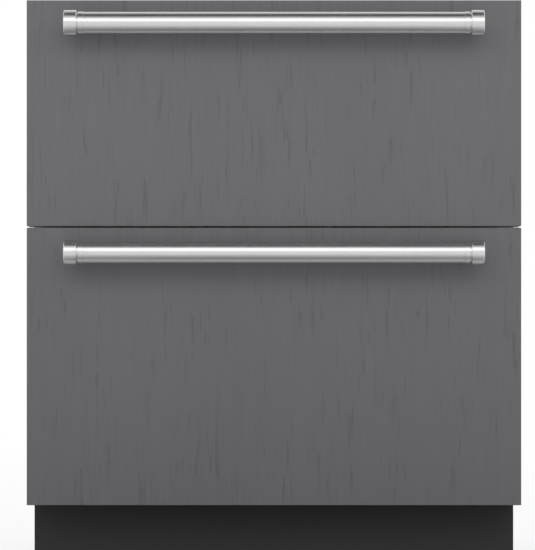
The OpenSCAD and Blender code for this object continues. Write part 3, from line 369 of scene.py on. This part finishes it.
fan_white = moulded("fan_plastic", (0.74, 0.75, 0.76), (0.36, 0.46))
black_nylon = moulded("black_moulding", (0.022, 0.022, 0.024), (0.4, 0.55))
control_dark = moulded("control_housing_plastic", (0.07, 0.07, 0.077), (0.36, 0.48))
button_grey = moulded("button_plastic", (0.62, 0.63, 0.64), (0.34, 0.44))
board_white = moulded("board_box_plastic", (0.70, 0.70, 0.68), (0.45, 0.58))
mark_dark = moulded("button_marks", (0.05, 0.05, 0.055), (0.4, 0.5))
window_glass = moulded("smoked_window", (0.012, 0.012, 0.015), (0.06, 0.12), 0.002, 0.000005)
lamp_green = moulded("lamp_lens", (0.12, 0.55, 0.25), (0.15, 0.25), 0.002, 0.00001)
glowing(lamp_green, (0.2, 0.9, 0.4), 0.6)
rubber = moulded("grommet_rubber", (0.02, 0.02, 0.02), (0.62, 0.75), 0.0005, 0.00004, 0.3)
gasket_vinyl = moulded("gasket_vinyl", (0.50, 0.505, 0.51), (0.5, 0.62), 0.0006, 0.00002, 0.4)
foam = rigid_foam()


# Pieces that keep their shape

def merged_and_smooth(name, creases):
    """Steps that join loose triangles and shade them smooth, with or without sharp creases."""
    group = bpy.data.node_groups.new(name, "GeometryNodeTree")
    group.interface.new_socket("Geometry", in_out="INPUT", socket_type="NodeSocketGeometry")
    group.interface.new_socket("Geometry", in_out="OUTPUT", socket_type="NodeSocketGeometry")
    nodes, links = group.nodes, group.links
    start = nodes.new("NodeGroupInput")
    merge = nodes.new("GeometryNodeMergeByDistance")
    merge.inputs["Distance"].default_value = SAME_POINT
    smooth = nodes.new("GeometryNodeSetShadeSmooth")
    end = nodes.new("NodeGroupOutput")
    links.new(start.outputs[0], merge.inputs["Geometry"])
    links.new(merge.outputs["Geometry"], smooth.inputs["Geometry"])
    last = smooth
    if creases:
        angle = nodes.new("GeometryNodeInputMeshEdgeAngle")
        steep = nodes.new("FunctionNodeCompare")
        steep.data_type = "FLOAT"
        steep.operation = "GREATER_THAN"
        steep.inputs[1].default_value = CREASE_ANGLE
        last = nodes.new("GeometryNodeSetShadeSmooth")
        last.domain = "EDGE"
        last.inputs["Shade Smooth"].default_value = False
        links.new(angle.outputs["Unsigned Angle"], steep.inputs[0])
        links.new(steep.outputs["Result"], last.inputs["Selection"])
        links.new(smooth.outputs["Geometry"], last.inputs["Geometry"])
    links.new(last.outputs["Geometry"], end.inputs[0])
    return group


joined = merged_and_smooth("joined", creases=False)
creased = merged_and_smooth("joined_with_creases", creases=True)


def painted(name, mat):
    """A piece with this finish in place of any other."""
    piece = frame["nodes"][name]
    piece.data.materials.clear()
    piece.data.materials.append(mat)
    return piece


def plain(mat, *names):
    """A finish for pieces whose edges stay as they are."""
    for name in names:
        painted(name, mat)


def crease(mat, *names):
    """A finish for pieces that keep their sharp edges, with their round parts shaded smooth."""
    for name in names:
        piece = painted(name, mat)
        piece.modifiers.new("joined", "NODES").node_group = creased
        piece.modifiers.new("even_shading", "WEIGHTED_NORMAL").keep_sharp = True


def dress(mat, edge, *names):
    """A finish for pieces whose edges are eased by a width in metres."""
    for name in names:
        piece = painted(name, mat)
        piece.modifiers.new("joined", "NODES").node_group = joined
        flats = piece.modifiers.new("flats_in_one", "DECIMATE")
        flats.decimate_type = "DISSOLVE"
        flats.angle_limit = math.radians(0.5)
        ease = piece.modifiers.new("eased_edges", "BEVEL")
        ease.width = edge
        ease.segments = 2
        ease.limit_method = "ANGLE"
        ease.angle_limit = CREASE_ANGLE
        ease.use_clamp_overlap = True
        piece.modifiers.new("even_shading", "WEIGHTED_NORMAL")


# Making pieces

def made(bm, name, body, mat, slot, *stands_for, sharp=32):
    """A finished piece of a mesh: closed, facing outwards and riding on its body.

    Edges that turn by more than sharp, in degrees, stay sharp.
    """
    bmesh.ops.remove_doubles(bm, verts=bm.verts, dist=SAME_POINT)
    bmesh.ops.recalc_face_normals(bm, faces=bm.faces)
    mesh = bpy.data.meshes.new(name)
    bm.to_mesh(mesh)
    bm.free()
    mesh.shade_smooth()
    mesh.set_sharp_from_angle(angle=math.radians(sharp))
    mesh.materials.append(mat)
    piece = bpy.data.objects.new(name, mesh)
    scene.collection.objects.link(piece)
    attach(piece, body)
    if stands_for:
        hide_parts(*stands_for)


def points_of(geometry):
    """The points among new geometry."""
    return [part for part in geometry if isinstance(part, bmesh.types.BMVert)]


def edges_of(geometry):
    """The edges among new geometry."""
    return [part for part in geometry if isinstance(part, bmesh.types.BMEdge)]


def rounded_edges(bm, edges, radius, segments):
    """Edges turned into round ones."""
    bmesh.ops.bevel(bm, geom=edges, offset=radius, affect="EDGES", segments=segments, profile=0.5,
        material=-1)


def turned(bm, profile, centre, axis, steps):
    """A closed turned form. profile is (distance along the axis, radius) pairs from one end to the other."""
    spots = [bm.verts.new(centre + axis * along + Z_AXIS * radius) for along, radius in profile]
    geom = spots + [bm.edges.new(pair) for pair in zip(spots, spots[1:])]
    bmesh.ops.spin(bm, geom=geom, cent=centre, axis=axis, angle=2 * math.pi, steps=steps, use_merge=True)


def rounded(along0, along1, radius, ease, steps):
    """Profile of a rod with eased ends, closed on its axis."""
    arc = [ease * (1 - math.cos(QUARTER * i / steps)) for i in range(steps + 1)]
    rise = [ease * math.sin(QUARTER * i / steps) for i in range(steps + 1)]
    first = [(along0 + a, radius - ease + r) for a, r in zip(arc, rise)]
    last = [(along1 - a, radius - ease + r) for a, r in zip(reversed(arc), reversed(rise))]
    return [(along0, 0)] + first + last + [(along1, 0)]


def block(bm, low, high, ease, segments=2):
    """A box between two corners with eased edges."""
    low, high = Vector(low), Vector(high)
    corners = bmesh.ops.create_cube(bm, size=1)["verts"]
    bmesh.ops.scale(bm, vec=high - low, verts=corners)
    bmesh.ops.translate(bm, vec=(low + high) / 2, verts=corners)
    edges = dict.fromkeys(edge for corner in corners for edge in corner.link_edges)
    rounded_edges(bm, list(edges), ease, segments)


# Handles

# Y of the wood panels' faces
face_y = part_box("upper_panel")[0].y
# Foot of a handle's post, as (distance from the panel's face, radius) pairs
POST_FOOT = [(0.0075, 0.0085), (0.0058, 0.0086), (0.0044, 0.0090), (0.0036, 0.0096), (0.0031, 0.0100),
    (0.0002, 0.0100), (0, 0.0098), (0, 0)]


def handle(side, body):
    """Brushed tube between two collared end caps on turned posts."""
    low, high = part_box(side + "_handle_bar")
    caps_low, caps_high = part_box(side + "_handle_posts")
    axis_y, axis_z = (low.y + high.y) / 2, (low.z + high.z) / 2
    radius = (high.z - low.z) / 2
    wall, lip = 0.002, 0.00015
    bm = bmesh.new()
    loop = [(low.x, radius - wall), (low.x, radius - lip), (low.x + lip, radius), (high.x - lip, radius),
        (high.x, radius - lip), (high.x, radius - wall), (low.x, radius - wall)]
    turned(bm, loop, Vector((0, axis_y, axis_z)), X_AXIS, 96)
    made(bm, side + "_handle_tube", body, stainless, "handle_steel", side + "_handle_bar")

    # Along the cap from its outer end: the cap, a groove, a collar and a spigot inside the tube
    cap_length, groove, collar, spigot = 0.020, 0.0015, 0.008, 0.013
    near, far = cap_length + groove, cap_length + groove + collar
    neck_r = radius - 0.001
    collar_r = radius + 0.0005
    spigot_r = radius - wall - 0.0001
    profile = rounded(0, cap_length, (caps_high.z - caps_low.z) / 2, 0.0016, 5)[:-1]
    profile += [(cap_length, neck_r), (near, neck_r), (near, collar_r - 0.0003), (near + 0.0003, collar_r),
        (far - 0.0002, collar_r), (far, collar_r - 0.0002), (far, spigot_r), (far + spigot, spigot_r),
        (far + spigot, 0)]
    foot = face_y - axis_y
    post = [(0, 0), (0, 0.0085)] + [(foot - short, r) for short, r in POST_FOOT]
    bm = bmesh.new()
    for way in (-1, 1):
        turned(bm, profile, Vector((way * caps_high.x, axis_y, axis_z)), X_AXIS * -way, 96)
        turned(bm, post, Vector((way * (caps_high.x - cap_length / 2), axis_y, axis_z)), Y_AXIS, 48)
    made(bm, side + "_handle_caps", body, stainless, "handle_steel", side + "_handle_posts")


# Gaskets

def gasket(side, body):
    """Bellows seal with its magnet pocket, swept round the opening."""
    low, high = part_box(side + "_gasket")
    width, depth = 0.014, high.y - low.y
    corner = 0.028
    # Outline of the seal, as (distance from its inner edge, distance from its front) pairs
    outline = [(0, 0), (width, 0), (width, 0.0018), (0.0115, 0.0026), (0.0127, 0.0040), (0.0113, 0.0054),
        (0.0132, 0.0062), (0.0137, 0.0070), (0.0137, depth - 0.0006), (0.0131, depth), (0.0009, depth),
        (0.0003, depth - 0.0006), (0.0003, 0.0070), (0.0008, 0.0062), (0.0027, 0.0054), (0.0013, 0.0040),
        (0.0025, 0.0026), (0, 0.0018)]
    left, right = low.x + corner, high.x - corner
    bottom, top = low.z + corner, high.z - corner
    bm = bmesh.new()
    ring = [bm.verts.new((left, low.y + y, low.z + width - inward)) for inward, y in outline]
    geom = ring + [bm.edges.new(pair) for pair in zip(ring, ring[1:] + ring[:1])]
    # Each straight run, and the middle of the corner that follows it
    runs = [((right - left, 0, 0), (right, bottom)), ((0, 0, top - bottom), (right, top)),
        ((left - right, 0, 0), (left, top)), ((0, 0, bottom - top), (left, bottom))]
    for step, (x, z) in runs:
        grown = bmesh.ops.extrude_edge_only(bm, edges=edges_of(geom))["geom"]
        points = points_of(grown)
        bmesh.ops.translate(bm, vec=step, verts=points)
        geom = points + [e for e in edges_of(grown) if e.verts[0] in points and e.verts[1] in points]
        bend = bmesh.ops.spin(bm, geom=geom, cent=(x, low.y, z), axis=-Y_AXIS, angle=QUARTER, steps=10)
        geom = bend["geom_last"]
    made(bm, side + "_bellows_gasket", body, gasket_vinyl, "gasket_rubber", side + "_gasket", sharp=50)


# Upper bin

def upper_bin():
    """Moulded bin with walls of one thickness, open at the top, with a narrow rim at its sides."""
    low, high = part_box("upper_bin")
    half_width, rim, wall = 0.310, 0.0023, 0.0025
    corner, base_corner = 0.024, 0.009
    outline = [(low.y, high.z), (low.y, low.z), (high.y, low.z), (high.y, high.z)]
    bm = bmesh.new()
    side = bm.faces.new([bm.verts.new((-half_width, y, z)) for y, z in outline])
    grown = bmesh.ops.extrude_face_region(bm, geom=[side])["geom"]
    bmesh.ops.translate(bm, vec=(2 * half_width, 0, 0), verts=points_of(grown))
    bmesh.ops.recalc_face_normals(bm, faces=bm.faces)
    lid = [f for f in bm.faces if f.normal.z > 0.9]
    bmesh.ops.delete(bm, geom=lid, context="FACES_ONLY")
    upright = [e for e in bm.edges if abs(e.verts[0].co.z - e.verts[1].co.z) > 0.01]
    rounded_edges(bm, upright, corner, 7)
    round_base = [e for f in bm.faces if f.normal.z < -0.9 for e in f.edges]
    rounded_edges(bm, round_base, base_corner, 4)
    mouth = [e for e in bm.edges if e.is_boundary]
    for point in points_of(bmesh.ops.extrude_edge_only(bm, edges=mouth)["geom"]):
        point.co.x *= 1 + rim / half_width
    bmesh.ops.recalc_face_normals(bm, faces=bm.faces)
    bmesh.ops.solidify(bm, geom=list(bm.faces), thickness=wall)
    made(bm, "upper_moulded_bin", "upper_drawer", bin_white, "bin_plastic", "upper_bin")


# Folded wrapper

def wrapper():
    """Painted sheet folded over the top and both sides, with flanges behind for the rear cover."""
    low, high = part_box("cabinet_wrapper")
    sheet, flange = 0.001, 0.020
    flange_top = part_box("rear_cover")[1].z
    path = [(low.x, low.z), (low.x, high.z), (high.x, high.z), (high.x, low.z)]
    bm = bmesh.new()
    spots = [bm.verts.new((x, low.y, z)) for x, z in path]
    edges = [bm.edges.new(pair) for pair in zip(spots, spots[1:])]
    grown = bmesh.ops.extrude_edge_only(bm, edges=edges)["geom"]
    bmesh.ops.translate(bm, vec=(0, high.y - low.y, 0), verts=points_of(grown))
    folds = [e for e in bm.edges if not e.is_boundary]
    rounded_edges(bm, folds, 0.003, 4)
    bmesh.ops.recalc_face_normals(bm, faces=bm.faces)
    if not any(f.normal.z > 0.9 for f in bm.faces):
        bmesh.ops.reverse_faces(bm, faces=bm.faces)
    bmesh.ops.solidify(bm, geom=list(bm.faces), thickness=sheet)
    for way in (-1, 1):
        x0, x1 = sorted((way * (high.x - sheet - flange), way * (high.x - sheet)))
        block(bm, (x0, high.y - 2 * sheet, low.z), (x1, high.y - sheet, flange_top), 0.0003, 1)
    made(bm, "folded_wrapper", "cabinet", cabinet_grey, "cabinet_paint", "cabinet_wrapper")


# Fans

def fan(name, body, node, blades, bore, mat, slot):
    """Hub with curved blades, thin at their tips."""
    low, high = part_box(node)
    hinge = next(joint for joint in frame["joints"] if joint["child"] == body)
    centre = Vector((hinge["pos_m"][0], (low.y + high.y) / 2, hinge["pos_m"][2]))
    radius, depth = (high.z - low.z) / 2, high.y - low.y
    hub, chord = radius * 0.3, radius * 0.82
    root, tip = hub * 0.9, radius * 0.985
    bm = bmesh.new()
    for v in bmesh.ops.create_grid(bm, x_segments=10, y_segments=8, size=0.5)["verts"]:
        # Across a blade from -0.5 to 0.5, and out from its root at 0 to its tip at 1
        across, out = v.co.x, v.co.y + 0.5
        reach = root + out * (tip - root)
        sweep = (across * (0.55 + 0.45 * out) + 0.16 * out * out) * chord / reach
        lift = depth * 0.42 * math.sin(across * 2.6) * (1.0 - 0.35 * out)
        v.co = Vector((reach * math.sin(sweep), lift, reach * math.cos(sweep)))
    bmesh.ops.solidify(bm, geom=list(bm.faces), thickness=0.0012)
    bmesh.ops.spin(bm, geom=list(bm.verts) + list(bm.edges) + list(bm.faces), cent=(0, 0, 0), axis=Y_AXIS,
        angle=2 * math.pi * (blades - 1) / blades, steps=blades - 1, use_duplicate=True)
    bmesh.ops.translate(bm, vec=centre, verts=bm.verts)
    nose = depth / 2
    profile = [(-nose, bore), (-nose, hub * 0.55), (-nose * 0.93, hub * 0.82), (-nose * 0.78, hub * 0.96),
        (-nose * 0.6, hub), (nose - 0.0006, hub), (nose, hub - 0.0006), (nose, bore), (-nose, bore)]
    turned(bm, profile, centre, Y_AXIS, 48)
    made(bm, name, body, mat, slot, node, sharp=40)


# Rear cover's louvres and the screws round the back

def louvres():
    """Pressed hoods over the two rows of slots in the rear cover."""
    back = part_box("rear_cover")[1].y
    slots, first_z, pitch = 9, 0.070, 0.016
    half_length, drop, swell = 0.0765, 0.0088, 0.0016
    bm = bmesh.new()
    for x in (-0.232, 0.205):
        for row in range(slots):
            grid = bmesh.ops.create_grid(bm, x_segments=16, y_segments=6, size=0.5)["verts"]
            for v in grid:
                # Across a hood from -1 to 1, and down from its top at 0 to its open mouth at 1
                across, down = v.co.x * 2, 0.5 - v.co.y
                edge = max(0.0, 1 - abs(across) ** 14)
                bulge = edge * math.sin(min(1.0, down * 1.15) * QUARTER)
                v.co = Vector((x + across * half_length, back + 0.00015 + swell * bulge,
                    first_z + row * pitch + drop * (1 - down)))
            faces = [f for f in bm.faces if all(v in grid for v in f.verts)]
            bmesh.ops.solidify(bm, geom=faces, thickness=0.0005)
    made(bm, "rear_cover_louvres", "cabinet", zinc, "zinc_sheet", sharp=50)


def pan_screw(bm, x, y, z):
    """Domed screw head with a driven recess, facing backwards."""
    radius, height = 0.004, 0.0019
    profile = [(0, 0), (0, radius), (height * 0.35, radius), (height * 0.75, radius * 0.86),
        (height, radius * 0.6), (height, radius * 0.34), (height * 0.35, radius * 0.26), (height * 0.3, 0)]
    turned(bm, profile, Vector((x, y, z)), Y_AXIS, 20)


def back_screws():
    """Screws that hold the back sheet to the wrapper's edges."""
    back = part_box("cabinet_rear_pan")[1].y
    side_x, top_z = 0.3605, 0.859
    bm = bmesh.new()
    for way in (-1, 1):
        for z in (0.30, 0.44, 0.58, 0.72, 0.85):
            pan_screw(bm, way * side_x, back, z)
    for x in (-0.24, -0.12, 0, 0.12, 0.24):
        pan_screw(bm, x, back, top_z)
    made(bm, "back_sheet_screws", "cabinet", screw_zinc, "screw_steel")


# Controls

def stroke(bm, centre, half):
    """A printed stroke with eased ends, given by its middle and half sizes."""
    half = Vector(half)
    block(bm, centre - half, centre + half, 0.00012)


def button_marks():
    """A broken ring with a stroke, a plus and a minus, each on its button."""
    line, depth = 0.0003, 0.00025
    for node, kind in (("power_button", "power"), ("warmer_button", "plus"), ("colder_button", "minus")):
        low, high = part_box(node)
        centre = Vector(((low.x + high.x) / 2, low.y, (low.z + high.z) / 2))
        bm = bmesh.new()
        if kind == "power":
            # The ring is open at its top, where the stroke stands
            arc = [bm.verts.new(centre + X_AXIS * radius) for radius in (0.0026, 0.0032)]
            edge = [bm.edges.new(arc)]
            bmesh.ops.rotate(bm, cent=centre, matrix=Matrix.Rotation(math.radians(-52), 3, "Y"), verts=arc)
            bmesh.ops.spin(bm, geom=arc + edge, cent=centre, axis=Y_AXIS, angle=math.radians(284), steps=24)
            bmesh.ops.solidify(bm, geom=list(bm.faces), thickness=depth)
            stroke(bm, centre + Z_AXIS * 0.0020, (line, depth, 0.0016))
        else:
            stroke(bm, centre, (0.0028, depth, line))
        if kind == "plus":
            for way in (1, -1):
                stroke(bm, centre + Z_AXIS * 0.0016 * way, (line, depth, 0.0013))
        made(bm, kind + "_mark", node + "_body", mark_dark, "button_plastic")


def indicator():
    """A smoked window in the control housing with four small lamps behind it."""
    low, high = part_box("control_housing")
    front, z = low.y, (low.z + high.z) / 2
    left, right, half_height = 0.02405, 0.07545, 0.0067
    first_lamp, pitch = 0.03375, 0.0105
    bm = bmesh.new()
    block(bm, (left, front + 0.0002, z - half_height), (right, front + 0.0010, z + half_height), 0.0002)
    made(bm, "indicator_window", "cabinet", window_glass, "control_plastic")
    bm = bmesh.new()
    lens = rounded(-0.0003, 0.0003, 0.0012, 0.0001, 2)
    for i in range(4):
        turned(bm, lens, Vector((first_lamp + i * pitch, front + 0.0002, z)), Y_AXIS, 20)
    made(bm, "indicator_lamps", "cabinet", lamp_green, "control_plastic")


for side in ("upper", "lower"):
    handle(side, side + "_drawer")
    gasket(side, side + "_drawer")
wrapper()
fan("evaporator_blades", "evaporator_fan_body", "evaporator_fan", 7, 0.0026, fan_white, "fan_plastic")
fan("condenser_blades", "condenser_fan_body", "condenser_fan", 5, 0.0031, black_nylon, "black_plastic")
louvres()
back_screws()
button_marks()
indicator()
upper_bin()

dress(oak, 0.0012, "upper_panel", "lower_panel")
dress(door_enamel, 0.0004, "upper_door_pan", "lower_door_pan")
plain(foam, "upper_door_foam", "lower_door_foam", "cabinet_foam")
dress(liner_white, 0.0008, "upper_door_liner", "lower_door_liner", "upper_liner")
dress(rail_steel, 0.0004, "upper_drawer_frame", "lower_drawer_frame", "slide_outer_rails",
    "upper_slide_middle_rails", "lower_slide_middle_rails")
dress(screw_zinc, 0.0004, "upper_drawer_screws", "lower_drawer_screws", "cabinet_screws")
dress(divider_clear, 0.0008, "upper_divider")
crease(liner_white, "lower_liner")
crease(bin_white, "lower_bin")
crease(black_nylon, "evaporator_fan_motor")
dress(frame_grey, 0.0006, "front_frame")
dress(zinc, 0.0003, "cabinet_rear_pan", "rear_cover")
dress(cover_white, 0.0006, "upper_duct_cover", "lower_duct_cover")
plain(aluminium, "evaporator_coil")
plain(condenser_black, "condenser_coil")
plain(heater_steel, "defrost_heater")
dress(trough_alu, 0.0004, "drip_trough")
dress(black_nylon, 0.0006, "drain_pan", "power_inlet")
dress(diffuser, 0.0018, "light_bars")
dress(control_dark, 0.0012, "control_housing")
dress(button_grey, 0.0009, "power_button", "warmer_button", "colder_button")
dress(compressor_black, 0.0008, "compressor")
dress(rubber, 0.0012, "compressor_grommets")
plain(shroud_zinc, "condenser_fan_frame")
plain(copper, "refrigerant_lines")
dress(board_white, 0.003, "control_board_box")
dress(base_zinc, 0.0005, "base_frame")
dress(kick_black, 0.0006, "kick_plate")
dress(bracket_zinc, 0.0005, "anti_tip_brackets")
crease(leg_steel, "front_left_leg", "front_right_leg", "rear_left_leg", "rear_right_leg")


# Stage, light and camera

def stage_white():
    """Pale floor that is white to the camera, but for the object's soft shadow.

    In reflections, and in the light that it throws back, its colour is a painted shade pool that darkens
    towards the object.
    """
    mat = bpy.data.materials.new("stage_white")
    mat.use_nodes = True
    nodes, links = mat.node_tree.nodes, mat.node_tree.links
    nodes.clear()
    coords = nodes.new("ShaderNodeTexCoord")
    length = nodes.new("ShaderNodeVectorMath")
    length.operation = "LENGTH"
    links.new(coords.outputs["Object"], length.inputs[0])
    # Distance from the object, where 1 is 4 m
    away = number(mat, "DIVIDE", length.outputs["Value"], 4.0)
    camera_ray = nodes.new("ShaderNodeLightPath").outputs["Is Camera Ray"]
    chalk = nodes.new("ShaderNodeBsdfDiffuse")
    # Painted shade: for all but camera rays the floor's colour darkens towards the object, a pool of shade
    # seen in reflections and in bounced light
    painted_shade_pool = ramp(mat, away, (0.10, 0.30), (0.20, 0.56), (0.34, 0.90), (0.50, 0.98))
    links.new(lighten(mat, painted_shade_pool, camera_ray), chalk.inputs["Color"])
    glow = nodes.new("ShaderNodeEmission")
    glow.inputs["Strength"].default_value = 1.0
    seen_glow = number(mat, "MULTIPLY", camera_ray, carried(mat, away, 0.15, 0.90, 0.80, 1.0))
    horizon = carried(mat, away, 0.4, 1.0, 0.0, 1.0)
    mix = nodes.new("ShaderNodeMixShader")
    links.new(number(mat, "MAXIMUM", seen_glow, horizon), mix.inputs["Fac"])
    links.new(chalk.outputs[0], mix.inputs[1])
    links.new(glow.outputs[0], mix.inputs[2])
    out = nodes.new("ShaderNodeOutputMaterial")
    links.new(mix.outputs[0], out.inputs["Surface"])
    return mat


def stage_floor():
    """A wide level floor under the feet."""
    bm = bmesh.new()
    bmesh.ops.create_grid(bm, x_segments=1, y_segments=1, size=30)
    mesh = bpy.data.meshes.new("floor")
    bm.to_mesh(mesh)
    bm.free()
    floor = bpy.data.objects.new("floor", mesh)
    scene.collection.objects.link(floor)
    mesh.materials.append(stage_white())


def studio():
    """White room that is bright at eye level and dark overhead, and plain white straight to the camera."""
    world = bpy.data.worlds.new("studio")
    scene.world = world
    world.use_nodes = True
    nodes, links = world.node_tree.nodes, world.node_tree.links
    nodes.clear()
    coords = nodes.new("ShaderNodeTexCoord")
    tilt = nodes.new("ShaderNodeMapping")
    tilt.inputs["Rotation"].default_value = (math.radians(-7), 0, 0)
    split = nodes.new("ShaderNodeSeparateXYZ")
    links.new(coords.outputs["Generated"], tilt.inputs["Vector"])
    links.new(tilt.outputs["Vector"], split.inputs[0])
    room = nodes.new("ShaderNodeBackground")
    sky = [(0.15, 1.06), (0.55, 0.92), (0.88, 0.78), (0.94, 0.30), (0.98, 0.08)]
    links.new(ramp(world, split.outputs["Z"], *sky), room.inputs["Color"])
    white = nodes.new("ShaderNodeBackground")
    white.inputs["Color"].default_value = (1, 1, 1, 1)
    path = nodes.new("ShaderNodeLightPath")
    seen = number(world, "MAXIMUM", path.outputs["Is Camera Ray"], path.outputs["Is Transmission Ray"])
    pick = nodes.new("ShaderNodeMixShader")
    links.new(seen, pick.inputs["Fac"])
    links.new(room.outputs[0], pick.inputs[1])
    links.new(white.outputs[0], pick.inputs[2])
    out = nodes.new("ShaderNodeOutputWorld")
    links.new(pick.outputs[0], out.inputs["Surface"])


def softbox(name, place, aim, width, height, watts, spread=180):
    """A rectangular lamp at a place, turned towards its aim. The camera doesn't see it."""
    lamp = bpy.data.lights.new(name, "AREA")
    lamp.shape = "RECTANGLE"
    lamp.size, lamp.size_y, lamp.energy = width, height, watts
    lamp.spread = math.radians(spread)
    piece = bpy.data.objects.new(name, lamp)
    piece.location = place
    piece.rotation_euler = (Vector(aim) - Vector(place)).to_track_quat("-Z", "Y").to_euler()
    piece.visible_camera = False
    scene.collection.objects.link(piece)


def handle_card(side, behind, depth, watts):
    """A narrow card under a handle, which shows as a light line along its underside."""
    low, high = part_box(side + "_handle_bar")
    axis = (low + high) / 2
    below, length, spread = 0.060, 0.66, 80
    softbox(side + "_card", axis + Vector((0, behind, -below)), axis, length, depth, watts, spread)


def front_camera():
    """A level camera with a long lens, in front of the wood panels and a little left of their middle."""
    x, distance, height = -0.0099, 4.85, 0.454
    lens = bpy.data.cameras.new("camera")
    lens.lens = 207.7
    lens.sensor_width = 36
    lens.clip_end = 100
    camera = bpy.data.objects.new("camera", lens)
    camera.location = (x, face_y - distance, height)
    camera.rotation_euler = (QUARTER, 0, 0)
    scene.collection.objects.link(camera)
    scene.camera = camera


stage_floor()
studio()
softbox("front_softbox", (0, -3.3, 2.32), (0, -0.3, 0.60), width=6.4, height=1.25, watts=40)
handle_card("upper", behind=0.023, depth=0.036, watts=0.0052)
handle_card("lower", behind=0.007, depth=0.070, watts=0.0102)
front_camera()
scene.view_settings.view_transform = "Standard"
